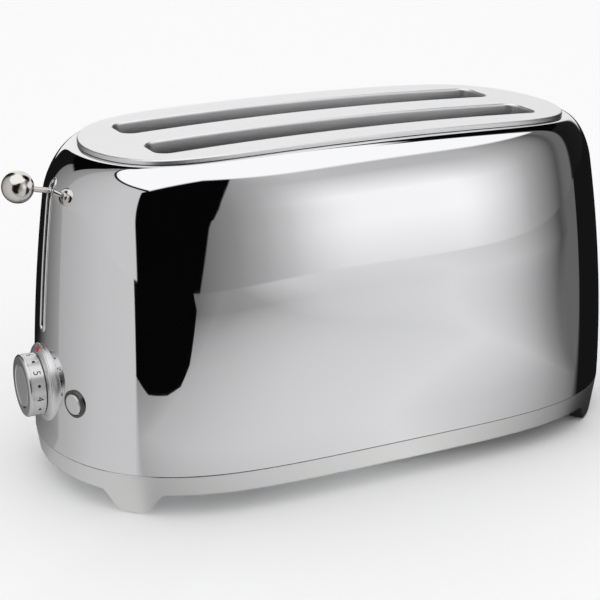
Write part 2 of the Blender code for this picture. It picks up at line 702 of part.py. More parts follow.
def make_carriage():
    """Everything that goes down with the lever. The joint's empty stands on the guide rod."""
    slide = new_empty("lever_slide", (ROD_X, 0, SLIDER_Z[0]), BODY)
    back = Vector((-ROD_X, 0, -SLIDER_Z[0]))

    def add(name, mesh, look, **options):
        return place(name, mesh, look, location=back, parent=slide, **options)

    ball_mesh = bpy.data.meshes.new("lever_ball")
    bm = bmesh.new()
    spot = Matrix.Translation((BALL_CENTRE[0], 0, BALL_CENTRE[1]))
    bmesh.ops.create_uvsphere(bm, u_segments=20, v_segments=10, radius=BALL_RADIUS, matrix=spot)
    bm.to_mesh(ball_mesh)
    bm.free()
    ball = add("lever_ball", ball_mesh, CHROME)
    inner_x = BALL_CENTRE[0] + 4 * MM
    socket = cylinder("ball_socket", STEM_RADIUS + GAP, (inner_x - GAP, 0, along_stem(inner_x - GAP)),
                      (-190 * MM, 0, along_stem(-190 * MM)))
    cut(ball, place("ball_socket", socket))
    stem = cylinder("lever_stem", STEM_RADIUS, (inner_x, 0, along_stem(inner_x)),
                    (STEM_END, 0, along_stem(STEM_END)))
    add("lever_stem", stem, CHROME)

    low, high = SLIDER_Z
    plate = box("carriage_slider", (BEAM_X[0] - 3 * MM, -9 * MM, low), (BEAM_X[1], 9 * MM, high))
    slider = add("carriage_slider", plate, ZINC)
    beam = box("slider_beam", (BEAM_X[0], -37 * MM, BEAM_Z[0]), (BEAM_X[1], 37 * MM, BEAM_Z[1]))
    bush = cylinder("slider_bush", BUSH_RADIUS, (ROD_X, 0, low), (ROD_X, 0, high))
    pad_x = STEM_END + GAP + STEM_RADIUS * math.sin(STEM_TILT)
    pad = box("slider_pad", (pad_x, -4 * MM, 174 * MM), (ROD_X, 4 * MM, high))
    bore = cylinder("slider_bore", ROD_RADIUS + GAP, (ROD_X, 0, 0), (ROD_X, 0, 240 * MM))
    for tool, action in ((place("slider_beam", beam), "UNION"), (place("slider_bush", bush), "UNION"),
                         (place("slider_pad", pad), "UNION"), (place("slider_bore", bore), "DIFFERENCE")):
        cut(slider, tool, action)

    keeper = box("latch_keeper", (MAGNET_X[0] + 1 * MM, MAGNET_Y[0] - 1 * MM, low - GAP - KEEPER_THICK),
                 (BEAM_X[1], MAGNET_Y[1] + 1 * MM, low - GAP))
    add("latch_keeper", keeper, ZINC)

    for side, tag in ((-1, "near"), (1, "far")):
        y = side * SLOT_Y
        name = f"bread_carrier_{tag}"
        reach = END_FRAME_X + 5 * MM
        spine = box(name, (BEAM_X[1] + GAP, y - 0.6 * MM, CARRIER_Z[0]),
                    (reach, y + 0.6 * MM, CARRIER_Z[1] - 1 * MM))
        carrier = add(name, spine, ZINC)
        bars = []
        for k in range(CARRIER_BARS):
            x = (k - (CARRIER_BARS - 1) / 2) * 29 * MM
            bars.append(((x - 1 * MM, y - 9 * MM, CARRIER_Z[1] - 2 * MM),
                         (x + 1 * MM, y + 9 * MM, CARRIER_Z[1])))
        cut(carrier, place(f"carrier_bars_{tag}", boxes(f"carrier_bars_{tag}", bars)), "UNION")


def make_rod_and_spring():
    low, high = ROD_Z
    place("guide_rod", cylinder("guide_rod", ROD_RADIUS, (ROD_X, 0, low), (ROD_X, 0, high)), ZINC)
    bottom = low + SPRING_WIRE
    top = SLIDER_Z[0] - GAP - SPRING_WIRE
    points = []
    count = SPRING_TURNS * 8
    for k in range(count + 1):
        angle = 2 * math.pi * k / 8
        points.append((ROD_X + SPRING_RADIUS * math.cos(angle), SPRING_RADIUS * math.sin(angle),
                       bottom + (top - bottom) * k / count))
    steps = [math.dist(points[k], points[k + 8]) for k in range(count - 8)]
    print("return spring, least gap between turns, mm:", round((min(steps) - 2 * SPRING_WIRE) / MM, 2))
    place("return_spring", wire_mesh("return_spring", points, SPRING_WIRE, resolution=0), ZINC)


def make_chamber():
    """End frames, heater cards, reflectors and the wire guards between which the bread stands."""
    middle = FLOOR_Z[1] + 14 * MM
    outline = [(-68, FLOOR_Z[1] + GAP), (-60, FLOOR_Z[1] + GAP), (-60, middle), (60, middle),
               (60, FLOOR_Z[1] + GAP), (68, FLOOR_Z[1] + GAP), (57, 80 * MM), (57, FRAME_TOP),
               (-57, FRAME_TOP), (-57, 80 * MM)]
    outline = [(y * MM, z) for y, z in outline]
    holes = []
    slots = []
    for side in (-1, 1):
        for edge in (-1, 1):
            y = side * SLOT_Y + edge * GUARD_OFFSET
            holes.append(((-200 * MM, y, GUARD_Z[0]), (200 * MM, y, GUARD_Z[0])))
        y = side * SLOT_Y
        slots.append(((-200 * MM, y - 2 * MM, CARRIER_Z[0] - LEVER_TRAVEL - 2 * MM),
                      (200 * MM, y + 2 * MM, CARRIER_Z[1] + 2 * MM)))
    pivots = place("pivot_cutter", cylinders("pivot_cutter", holes, GUARD_WIRE + 0.5 * MM, 8))
    ways = place("carrier_way_cutter", boxes("carrier_way_cutter", slots))
    for sign, tag in ((-1, "front"), (1, "rear")):
        name = f"end_frame_{tag}"
        frame = place(name, prism(name, outline, SHEET / 2), ZINC,
                      location=(sign * END_FRAME_X, 0, 0), rotation=(0, 0, math.pi / 2))
        if tag == "front":
            shelf = box("rod_shelf", (ROD_X - 5 * MM, -9 * MM, ROD_Z[1] + GAP),
                        (-END_FRAME_X, 9 * MM, ROD_Z[1] + GAP + 1.5 * MM))
            cut(frame, place("rod_shelf", shelf), "UNION")
        cut(frame, pivots)
        cut(frame, ways)

    reach = END_FRAME_X - SHEET / 2 - GAP
    for side, tag in ((-1, "near"), (1, "far")):
        for edge, which in ((-1, "inner"), (1, "outer")):
            y = side * (SLOT_Y + edge * CARD_OFFSET)
            name = f"heater_card_{tag}_{which}"
            card = box(name, (-reach, y - CARD_THICK / 2, CARD_Z[0]), (reach, y + CARD_THICK / 2, CARD_Z[1]))
            place(name, card, MICA)
            make_guard(f"bread_guard_{tag}_{which}", side * (SLOT_Y + edge * GUARD_OFFSET), -side * edge)
        y = side * (SLOT_Y + REFLECTOR_OFFSET)
        name = f"heat_reflector_{tag}"
        sheet = box(name, (-reach, y - SHEET / 2, 34 * MM), (reach, y + SHEET / 2, 196 * MM))
        place(name, sheet, ALUMINIUM)


def make_guard(name, y, inward):
    """Wires that stand on a pivot rail and lean in on the bread. The origin is on the pivot."""
    pivot = new_empty(name + "_pivot", (0, y, GUARD_Z[0]), BODY)
    height = GUARD_Z[1] - GUARD_Z[0]
    span = END_FRAME_X + 3 * MM
    rails = [((-span, 0, 0), (span, 0, 0)),
             ((-GUARD_HALF_LENGTH, 0, height), (GUARD_HALF_LENGTH, 0, height))]
    guard = place(name, cylinders(name, rails, GUARD_WIRE, 4), ZINC, parent=pivot)
    wires = []
    for k in range(GUARD_WIRES):
        x = (2 * k / (GUARD_WIRES - 1) - 1) * (GUARD_HALF_LENGTH - 4 * MM)
        y = inward * 0.25 * MM
        wires.append(((x, y, -0.2 * MM), (x, y, height + 0.2 * MM)))
    tool = place(name + "_wires", cylinders(name + "_wires", wires, GUARD_WIRE * 0.8, 4), parent=pivot)
    cut(guard, tool, "UNION")


def make_knob():
    """The browning knob, its shaft and the stop button share one axis, with Z out of the end."""
    axis = new_empty("knob_axis", (KNOB_FACE_X, 0, KNOB_Z), BODY)
    axis.rotation_euler = (0, -math.pi / 2, 0)
    depth = KNOB_BACK_X - KNOB_FACE_X
    bore = STOP_RADIUS + GAP
    knob = [(bore, 0), (KNOB_RADIUS - KNOB_ROUND, 0)]
    for k in range(1, 4):
        angle = math.pi / 2 * k / 3
        knob.append((KNOB_RADIUS - KNOB_ROUND + KNOB_ROUND * math.sin(angle),
                     -KNOB_ROUND + KNOB_ROUND * math.cos(angle)))
    web = 5 * MM
    hub = SHAFT_RADIUS + GAP
    knob += [(KNOB_RADIUS, -depth), (hub, -depth), (hub, -web), (bore, -web)]
    turned("browning_knob", knob, SATIN, parent=axis, steps=30, ring=True)

    rod = 1.3 * MM
    shaft_end = -191.4 * MM - KNOB_FACE_X
    shaft = [(SHAFT_RADIUS, -web), (SHAFT_RADIUS, -shaft_end), (rod + GAP, -shaft_end), (rod + GAP, -web)]
    turned("knob_shaft", shaft, ZINC, parent=axis, steps=16, ring=True)
    rod_end = -184.2 * MM - KNOB_FACE_X
    stop = [(0, -0.2 * MM), (STOP_RADIUS - 0.6 * MM, -0.2 * MM), (STOP_RADIUS, -0.8 * MM),
            (STOP_RADIUS, -3.2 * MM), (rod, -3.2 * MM), (rod, -rod_end), (0, -rod_end)]
    turned("stop_button", stop, LIGHT_PLASTIC, parent=axis, steps=28)

    flange_z = KNOB_FACE_X - FLANGE_X
    ring = [(FLANGE_BORE, flange_z), (20.4 * MM, flange_z), (23.2 * MM, flange_z - 0.8 * MM),
            (24.4 * MM, flange_z - 1.7 * MM), (FLANGE_RADIUS, flange_z - 2.6 * MM),
            (FLANGE_RADIUS, -18 * MM), (FLANGE_BORE, -18 * MM)]
    flange = turned("knob_flange", ring, SATIN, parent=axis, steps=30, ring=True)
    core_heights = np.linspace(SEAM_Z + 4 * MM, 108 * MM, 6)
    core = loft("body_core", [side_ring(z, GAP) for z in core_heights], "capped")
    cut(flange, place("body_core", core))
    notch = box("index_notch", (-202 * MM, -1.5 * MM - GAP, KNOB_Z + 21.0 * MM - GAP),
                (-197.6 * MM - GAP, 1.5 * MM + GAP, KNOB_Z + 30 * MM))
    cut(flange, place("index_notch", notch))
    index = box("dial_index", (FLANGE_X + 0.1 * MM, -1.5 * MM, KNOB_Z + 21.0 * MM),
                (-197.6 * MM - 2 * GAP, 1.5 * MM, KNOB_Z + 23.6 * MM))
    bevel(place("dial_index", index, RED), 0.3 * MM, 1)

    pot_front = -191 * MM
    pot = [(8.5 * MM, 0), (8.5 * MM, BOARD_X[0] - GAP - pot_front),
           (rod + 2 * GAP, BOARD_X[0] - GAP - pot_front), (rod + 2 * GAP, 0)]
    pot = [(r, -z) for r, z in pot]
    turned("browning_control", pot, DARK_PLASTIC, (pot_front, 0, KNOB_Z), (0, -math.pi / 2, 0),
           steps=16, ring=True)


def make_function_buttons():
    for side, tag in ((-1, "near"), (1, "far")):
        axis = button_axis(side)
        hole = BUTTON_RADIUS + GAP
        neck = BUTTON_RADIUS + 1.6 * MM - GAP
        ring = [(BEZEL_RADIUS - 0.8 * MM, BEZEL_PROUD), (BEZEL_RADIUS, BEZEL_PROUD - 0.8 * MM),
                (BEZEL_RADIUS, -1.6 * MM), (hole, -1.6 * MM), (hole, BEZEL_PROUD - 0.3 * MM),
                (hole + 0.3 * MM, BEZEL_PROUD)]
        bezel = turned(f"button_bezel_{tag}", ring, DARK_PLASTIC, parent=axis, steps=20, ring=True)
        cut(bezel, bpy.data.objects["body_core"])
        neck_ring = [(neck, 0.5 * MM), (neck, -4.5 * MM), (hole, -4.5 * MM), (hole, 0.5 * MM)]
        sleeve = turned(f"bezel_neck_{tag}", neck_ring, parent=axis, steps=20, ring=True)
        cut(bezel, sleeve, "UNION")
        cap = [(0, BUTTON_PROUD), (BUTTON_RADIUS - 1.6 * MM, BUTTON_PROUD - 0.15 * MM),
               (BUTTON_RADIUS - 0.3 * MM, BUTTON_PROUD - 0.8 * MM), (BUTTON_RADIUS, BUTTON_PROUD - 1.4 * MM),
               (BUTTON_RADIUS, -3.5 * MM), (2 * MM, -3.5 * MM), (2 * MM, -6 * MM), (0, -6 * MM)]
        turned(f"function_button_{tag}", cap, LIGHT_PLASTIC, parent=axis, steps=20)


def make_controls():
    low = FLOOR_Z[1] + GAP
    wide, narrow = BOARD_HALF_WIDTH, BOARD_HALF_WIDTH - BOARD_CHAMFER
    outline = [(-wide, low), (wide, low), (wide, BOARD_TOP - BOARD_CHAMFER), (narrow, BOARD_TOP),
               (-narrow, BOARD_TOP), (-wide, BOARD_TOP - BOARD_CHAMFER)]
    thick = (BOARD_X[1] - BOARD_X[0]) / 2
    place("control_board", prism("control_board", outline, thick), BOARD_GREEN,
          location=((BOARD_X[0] + BOARD_X[1]) / 2, 0, 0), rotation=(0, 0, math.pi / 2))
    top = SLIDER_Z[0] - GAP - KEEPER_THICK - LEVER_TRAVEL - LATCH_GAP
    coil_low, coil_high = zip(MAGNET_X, MAGNET_Y)
    magnet = place("latch_electromagnet", box("latch_electromagnet", (*coil_low, low),
                                              (*coil_high, top - 3 * MM)), COPPER)
    pole = box("magnet_pole", [v + 4 * MM for v in coil_low] + [low + 3 * MM],
               [v - 4 * MM for v in coil_high] + [top])
    cut(magnet, place("magnet_pole", pole), "UNION")


clear_scene()
PARTS = new_collection("toaster")
CUTTERS = new_collection("cutters")
BODY = new_empty("toaster_body", (BODY_X, 0, 0))
make_outer_shell()
make_top_plate()
make_slot_collars()
make_base()
make_bottom_plate()
make_crumb_tray()
make_lever_trim()
make_carriage()
make_rod_and_spring()
make_chamber()
make_knob()
make_function_buttons()
make_controls()
print("body shift, mm:", round(BODY_X / MM, 3), "parts:", len([o for o in PARTS.objects if o.type == "MESH"]))
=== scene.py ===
# %% [markdown]
# A long-slot toaster in polished steel stands on a white studio floor. Its lever, knob, buttons, bread
# guards and crumb tray are real moving pieces: they come packed as a fixed frame of solids that say where
# everything is. This script dresses that frame. It gives each solid its finish, and makes fine surfaces
# where facets would show, each in the place of the solid it stands for.

# %% Load the fixed frame
import json
import math

import bmesh
import bpy
import numpy as np
from mathutils import Matrix, Vector

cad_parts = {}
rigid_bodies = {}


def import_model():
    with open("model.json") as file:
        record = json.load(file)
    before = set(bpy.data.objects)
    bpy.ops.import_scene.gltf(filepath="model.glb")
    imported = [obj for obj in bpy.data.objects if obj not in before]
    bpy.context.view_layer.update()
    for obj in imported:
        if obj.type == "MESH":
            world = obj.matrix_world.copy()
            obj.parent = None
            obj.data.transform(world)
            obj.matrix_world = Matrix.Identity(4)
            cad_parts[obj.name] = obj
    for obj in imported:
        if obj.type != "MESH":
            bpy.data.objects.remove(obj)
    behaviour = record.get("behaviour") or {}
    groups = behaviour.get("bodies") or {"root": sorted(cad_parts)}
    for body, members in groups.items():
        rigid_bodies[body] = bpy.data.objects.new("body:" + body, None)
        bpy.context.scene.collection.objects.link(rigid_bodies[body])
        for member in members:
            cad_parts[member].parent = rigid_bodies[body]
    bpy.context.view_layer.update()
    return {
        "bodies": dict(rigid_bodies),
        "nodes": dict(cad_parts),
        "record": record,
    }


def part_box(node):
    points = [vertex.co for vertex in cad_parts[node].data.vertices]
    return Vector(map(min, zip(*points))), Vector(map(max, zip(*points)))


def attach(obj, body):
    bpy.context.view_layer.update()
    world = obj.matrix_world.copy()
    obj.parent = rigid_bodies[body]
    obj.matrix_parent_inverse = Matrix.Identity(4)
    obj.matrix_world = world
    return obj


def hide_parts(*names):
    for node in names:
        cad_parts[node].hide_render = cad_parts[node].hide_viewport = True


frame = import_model()
scene = bpy.context.scene
nodes = frame["nodes"]
print("the frame holds", len(nodes), "solids on", len(frame["bodies"]), "bodies")

# %% [markdown]
# Everything is built from the sizes of the real thing. The body is a pressed shell whose plan is a rounded
# outline, |x/a|^n + |y/b|^m = 1, wider at the waist and drawn in at the shoulder. The toaster's frame has its
# origin under the lever ball and the body together, so the body's own middle lies a little along X.

# %% The body's driving sizes, in metres
MM = 0.001
BODY_X = sum(corner.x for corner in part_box("outer_shell")) / 2
SEAM_Z, WAIST_Z, SHOULDER_Z = 0.0274, 0.0739, 0.1796
SEAM_HALF, WAIST_HALF, SHOULDER_HALF = (0.1992, 0.1028), (0.1970, 0.1035), (0.1863, 0.0901)
BODY_POWER = (4.16, 2.01)
SHOULDER_ROUND = 1.85
PLATE_HALF, PLATE_POWER = (0.1634, 0.0687), (7.3, 1.74)
PLATE_TOP, CROWN_DROP, CROWN_REACH = 0.2150, 0.0041, 0.1500
RIM_DROP, RIM_MARGIN, RIM_FLANGE = 0.0030, 0.0020, 0.0070
SEAM_GAP = 0.4 * MM
print("body middle at x =", round(BODY_X * 1000, 3), "mm")

# %% [markdown]
# Many pieces here follow a rule, so a rule should be readable as a formula. Blender's node trees can hold any
# formula, but a dozen Math nodes are hard to read in a script. The small class below wraps one socket and
# answers to +, -, * and the rest by adding the matching node, so both materials and geometry can be written
# as plain expressions.

# %% A socket that understands arithmetic
def live_socket(sockets, key):
    """The enabled socket with that name or number: a Mix node hides the ones its data type doesn't use."""
    live = [s for s in sockets if s.enabled]
    return live[key] if isinstance(key, int) else next(s for s in live if s.name == key)


class Flow:
    """One output socket. Arithmetic on it adds Math nodes, or Vector Math where it carries a vector."""

    def __init__(self, socket):
        self.socket = socket
        self.tree = socket.id_data

    def math(self, operation, *values):
        kind = "ShaderNodeVectorMath" if self.socket.type == "VECTOR" else "ShaderNodeMath"
        return node(self.tree, kind, {"operation": operation}, values)[0]

    def __lt__(self, other):
        return self.math("LESS_THAN", self, other)

    def __gt__(self, other):
        return self.math("GREATER_THAN", self, other)

    def __abs__(self):
        return self.math("ABSOLUTE", self)

    def call(self, operation, *others):
        """Any other Math operation by name, such as call("SINE")."""
        return self.math(operation, self, *others)


for sign, operation in (("add", "ADD"), ("sub", "SUBTRACT"), ("mul", "MULTIPLY"), ("truediv", "DIVIDE"),
                        ("pow", "POWER")):
    setattr(Flow, f"__{sign}__", lambda self, other, name=operation: self.math(name, self, other))
    setattr(Flow, f"__r{sign}__", lambda self, other, name=operation: self.math(name, other, self))


class Outputs:
    """The outputs of a node that was just made, by name or number."""

    def __init__(self, item):
        self.item = item

    def __getitem__(self, key):
        return Flow(live_socket(self.item.outputs, key))


def node(tree, kind, settings=None, inputs=()):
    """Adds a node. Its settings come first, then the value or the link of each socket."""
    item = tree.nodes.new(kind)
    for name, value in (settings or {}).items():
        if name == "stops":
            ramp = item.color_ramp.elements
            for element, (place, color) in ((ramp[0], value[0]), (ramp[1], value[-1])):
                element.position, element.color = place, (*color, 1.0)
            for place, color in value[1:-1]:
                ramp.new(place).color = (*color, 1.0)
        else:
            setattr(item, name, value)
    for key, value in inputs.items() if isinstance(inputs, dict) else enumerate(inputs):
        socket = live_socket(item.inputs, key)
        if isinstance(value, Flow):
            tree.links.new(value.socket, socket)
        elif socket.type == "VECTOR" and isinstance(value, (int, float)):
            socket.default_value = (value,) * 3
        elif socket.type == "RGBA" and len(value) == 3:
            socket.default_value = (*value, 1.0)
        else:
            socket.default_value = value
    return Outputs(item)


print("arithmetic on sockets is ready")

# %% [markdown]
# The camera comes first, because every later choice is judged through it. A photograph's camera can be worked
# out from a few edges of known size. Here it stands to the left of the long side and looks down on it by 19
# degrees, with a long lens, so that the ends hardly taper.

# %% Camera
CAMERA_YAW, CAMERA_PITCH, CAMERA_ROLL = math.radians(-25.92), math.radians(19.16), math.radians(-0.14)
CAMERA_DISTANCE = 0.9811
CAMERA_LENS, SENSOR_WIDTH = 88.49, 36.0
AIM_HEIGHT, AIM_RIGHT, AIM_UP = 0.1000, -0.0181, -0.0109


def camera_axes(yaw, pitch, roll):
    """Right, up and backward directions of a camera that looks at the toaster's long side."""
    back = Vector((math.sin(yaw) * math.cos(pitch), -math.cos(yaw) * math.cos(pitch), math.sin(pitch)))
    right = Vector((math.cos(yaw), math.sin(yaw), 0))
    up = back.cross(right)
    return right * math.cos(roll) + up * math.sin(roll), up * math.cos(roll) - right * math.sin(roll), back


lens = bpy.data.cameras.new("camera")
lens.lens, lens.sensor_width = CAMERA_LENS, SENSOR_WIDTH
lens.clip_start, lens.clip_end = 0.01, 50
camera = bpy.data.objects.new("camera", lens)
scene.collection.objects.link(camera)
right, up, back = camera_axes(CAMERA_YAW, CAMERA_PITCH, CAMERA_ROLL)
aim = Vector((BODY_X, 0, AIM_HEIGHT)) + right * AIM_RIGHT + up * AIM_UP
camera.matrix_world = Matrix.Translation(aim + back * CAMERA_DISTANCE) @ Matrix(
    (right, up, back)).transposed().to_4x4()
scene.camera = camera
print("camera at", [round(v, 4) for v in camera.matrix_world.translation])

# %% [markdown]
# A finish is a node tree too. Polished steel is nearly all reflection: what matters is its tint, a very low
# roughness that isn't quite even, and a faint drawn grain. Satin metal keeps the same tint and spreads the
# reflection along the brushing. Patterns read Object coordinates, which are metres here, so their scale can
# be written in millimetres.

# %% Finish helpers
def blank_finish(name):
    """An empty material and its tree, with the piece's own coordinates in metres."""
    look = bpy.data.materials.new(name)
    look.use_nodes = True
    look.node_tree.nodes.clear()
    return look, look.node_tree, node(look.node_tree, "ShaderNodeTexCoord")["Object"]


def surface(tree, sockets):
    """One Principled shader, wired to the output."""
    shader = node(tree, "ShaderNodeBsdfPrincipled", {}, sockets)
    node(tree, "ShaderNodeOutputMaterial", {}, {"Surface": shader["BSDF"]})


def noise(tree, place, size, detail=2.0, roughness=0.5):
    """Soft noise from 0 to 1 whose blots are about this many metres across. A tuple stretches it."""
    stretch = [1 / s for s in size] if isinstance(size, tuple) else [1 / size] * 3
    return node(tree, "ShaderNodeTexNoise", {},
                {"Vector": place * tuple(stretch), "Scale": 1.0, "Detail": detail, "Roughness": roughness})[0]


def blend_colors(tree, share, first, second):
    sockets = {"Factor": share, "A": first, "B": second}
    return node(tree, "ShaderNodeMix", {"data_type": "RGBA"}, sockets)["Result"]


def tinted(color, factor):
    return [min(1.0, c * factor) for c in color]


def bump(tree, height, depth):
    """A small relief: height runs from 0 to 1, and depth is what 1 stands for, in metres."""
    return node(tree, "ShaderNodeBump", {}, {"Strength": 1.0, "Distance": depth, "Height": height})["Normal"]


# %% Polished steel of the shell
def polished_steel(name, tint, roughness, waviness):
    look, tree, place = blank_finish(name)
    haze = noise(tree, place, 0.03, 3.0)
    grain = noise(tree, place, (0.0006, 0.0006, 0.03), 2.0)
    surface(tree, {
        "Base Color": blend_colors(tree, haze, tinted(tint, 0.985), tint),
        "Metallic": 1.0,
        "Roughness": haze * (roughness * 0.5) + grain * (roughness * 0.25) + roughness * 0.6,
        "Normal": bump(tree, noise(tree, place, 0.012, 1.0), waviness),
    })
    return look


CHROME = polished_steel("polished_steel", (0.86, 0.86, 0.875), 0.030, 0.000002)
NICKEL = polished_steel("polished_nickel", (0.80, 0.775, 0.735), 0.16, 0.0)


# %% Satin metals
def brushed_metal(name, tint, roughness, grain_size, depth=0.000004):
    """Metal brushed one way: the grain is long where grain_size is large."""
    look, tree, place = blank_finish(name)
    grain = noise(tree, place, grain_size, 3.0, 0.6)
    haze = noise(tree, place, 0.02, 2.0)
    surface(tree, {
        "Base Color": blend_colors(tree, grain, tinted(tint, 0.95), tinted(tint, 1.04)),
        "Metallic": 1.0,
        "Roughness": grain * 0.08 + haze * 0.05 + (roughness - 0.065),
        "Normal": bump(tree, grain, depth),
    })
    return look


SATIN_PLATE = brushed_metal("satin_plate", (0.90, 0.90, 0.91), 0.34, (0.03, 0.0004, 0.0004))
SATIN_BASE = brushed_metal("satin_base", (0.84, 0.84, 0.835), 0.38, (0.0008, 0.0008, 0.0008))
SATIN_KNOB = brushed_metal("satin_knob", (0.74, 0.74, 0.75), 0.26, (0.0003, 0.01, 0.01))
SATIN_FLANGE = brushed_metal("satin_flange", (0.86, 0.86, 0.86), 0.36, (0.0003, 0.01, 0.01))
BUTTON_FACE = brushed_metal("button_face", (0.80, 0.80, 0.81), 0.40, (0.01, 0.0003, 0.0003))
BEZEL_METAL = brushed_metal("bezel_metal", (0.13, 0.125, 0.115), 0.30, (0.001, 0.001, 0.001))
DARK_SHEET = brushed_metal("dark_sheet", (0.17, 0.17, 0.175), 0.42, (0.02, 0.0006, 0.0006))
ALUMINIUM = brushed_metal("mill_aluminium", (0.70, 0.70, 0.71), 0.38, (0.03, 0.0006, 0.0006))
print("metals:", [m.name for m in bpy.data.materials if "_" in m.name])

# %% [markdown]
# The inner sheets are zinc plated, which dries in pale crystals called spangle: a Voronoi texture gives each
# crystal its own grey. Plastics, rubber, mineral card, the circuit board and the wound coil are plain shaders
# whose colour and roughness vary a little, as moulded and pressed things do.

# %% Zinc, plastics, rubber, card and board
def zinc_sheet():
    look, tree, place = blank_finish("zinc_sheet")
    crystal = node(tree, "ShaderNodeTexVoronoi", {}, {"Vector": place, "Scale": 260.0})["Color"]
    shade = node(tree, "ShaderNodeSeparateColor", {}, {"Color": crystal})[0]
    surface(tree, {
        "Base Color": blend_colors(tree, shade, (0.46, 0.47, 0.48), (0.62, 0.63, 0.64)),
        "Metallic": 1.0,
        "Roughness": shade * 0.16 + 0.30,
        "Normal": bump(tree, noise(tree, place, 0.002), 0.000008),
    })
    return look


def moulded(name, color, roughness, grain=0.0005, depth=0.00001):
    """Moulded plastic or rubber with a fine spark-eroded grain."""
    look, tree, place = blank_finish(name)
    skin = noise(tree, place, grain, 2.0)
    patch = noise(tree, place, 0.012, 2.0)
    surface(tree, {
        "Base Color": blend_colors(tree, patch, tinted(color, 0.92), tinted(color, 1.06)),
        "Metallic": 0.0,
        "Roughness": skin * 0.10 + patch * 0.06 + (roughness - 0.08),
        "Normal": bump(tree, skin, depth),
    })
    return look


ZINC = zinc_sheet()
RUBBER = moulded("rubber", (0.035, 0.035, 0.036), 0.75)
DARK_PLASTIC = moulded("dark_plastic", (0.045, 0.045, 0.05), 0.42)
LIGHT_PLASTIC = moulded("light_plastic", (0.55, 0.55, 0.56), 0.36)
MICA = moulded("mineral_card", (0.50, 0.42, 0.30), 0.62, 0.0012, 0.00004)
BOARD = moulded("circuit_board", (0.03, 0.13, 0.06), 0.35)
COPPER = brushed_metal("wound_copper", (0.72, 0.36, 0.18), 0.34, (0.01, 0.01, 0.0003), 0.00005)
INDEX_RED = moulded("index_red", (0.55, 0.03, 0.04), 0.30)
PAINT = moulded("dial_black", (0.012, 0.012, 0.014), 0.35)
WIRE = brushed_metal("drawn_wire", (0.56, 0.56, 0.57), 0.32, (0.0006, 0.0006, 0.0006))
print(len(bpy.data.materials), "materials in all")

# %% [markdown]
# Every solid of the frame gets a finish, so that nothing is left plain when the toaster is opened up in
# other poses. The ones replaced further on keep theirs hidden.

# %% Finishes of the frame's own solids
FINISH_OF = {
    "chrome": CHROME, "satin_steel": SATIN_PLATE, "base_grey": SATIN_BASE, "dark_steel": DARK_SHEET,
    "zinc_sheet": ZINC, "spring_wire": WIRE, "aluminium_sheet": ALUMINIUM, "mica": MICA, "rubber": RUBBER,
    "dark_plastic": DARK_PLASTIC, "light_plastic": LIGHT_PLASTIC, "board_green": BOARD,
    "copper_coil": COPPER, "red_paint": INDEX_RED,
}
for part in frame["record"]["subparts"]:
    solid = nodes[part["node"]]
    solid.data.materials.clear()
    solid.data.materials.append(FINISH_OF[part["material_slot"]])
print("dressed", len(nodes), "solids in", len(FINISH_OF), "finishes")

# %% [markdown]
# The shell is one pressed sheet: upright sides, a rounded shoulder and a narrow rim that carries the top
# plate. It could be a subdivision cage, but its sections are known formulas, and polished steel shows every
# wobble of a cage. So a plain grid carries two numbers at each point, how far round the outline it is and how
# far up the wall, and a Geometry Nodes tree turns these two into a place on the real surface.

# %% Helpers for objects and meshes
def new_piece(name, data, look=None):
    """An object in the scene, with its finish."""
    piece = bpy.data.objects.new(name, data)
    scene.collection.objects.link(piece)
    if look:
        data.materials.append(look)
    return piece


def evaluated(piece):
    """A plain mesh of what an object looks like with its modifiers or its curve's thickness."""
    return bpy.data.meshes.new_from_object(piece.evaluated_get(bpy.context.evaluated_depsgraph_get()))


def reworked(mesh, edit):
    """Runs one edit on a mesh, with Blender's mesh tools."""
    bm = bmesh.new()
    bm.from_mesh(mesh)
    edit(bm)
    bm.to_mesh(mesh)
    bm.free()
    return mesh


def carry(mesh, key, values):
    """Writes one number at each point of a mesh, for a tree to read."""
    data = mesh.attributes.new(key, "FLOAT", "POINT").data
    data.foreach_set("value", np.asarray(values).astype(np.float32))


def carried(tree, key):
    return node(tree, "GeometryNodeInputNamedAttribute", {"data_type": "FLOAT"}, {"Name": key})["Attribute"]


def moved_to(tree, given, x, y, z):
    """Puts each point of a tree's mesh at a place."""
    spot = node(tree, "ShaderNodeCombineXYZ", {}, {"X": x, "Y": y, "Z": z})[0]
    return node(tree, "GeometryNodeSetPosition", {}, {"Geometry": given["Geometry"], "Position": spot})[0]


# %% Running a tree of geometry once
def grow(name, start, tree, values, look):
    """Runs a Geometry Nodes tree on a starting mesh and keeps the result as a plain mesh object."""
    holder = new_piece(name + "_start", start)
    values = values | {"Finish": look}
    step = holder.modifiers.new("grow", "NODES")
    step.node_group = tree
    for item in tree.interface.items_tree:
        if item.item_type == "SOCKET" and item.in_out == "INPUT" and item.name in values:
            step[item.identifier] = values[item.name]
    mesh = evaluated(holder)
    bpy.data.objects.remove(holder)
    mesh.name = name
    print(name, "has", len(mesh.polygons), "faces")
    return new_piece(name, mesh)


def new_tree(name, **inputs):
    """A geometry tree with named inputs: floats by default, and a finish. Returns it and its inputs."""
    tree = bpy.data.node_groups.new(name, "GeometryNodeTree")
    tree.interface.new_socket("Geometry", in_out="INPUT", socket_type="NodeSocketGeometry")
    for key, value in inputs.items():
        socket = tree.interface.new_socket(key, in_out="INPUT", socket_type="NodeSocketFloat")
        socket.default_value = value
    tree.interface.new_socket("Finish", in_out="INPUT", socket_type="NodeSocketMaterial")
    tree.interface.new_socket("Geometry", in_out="OUTPUT", socket_type="NodeSocketGeometry")
    return tree, node(tree, "NodeGroupInput")


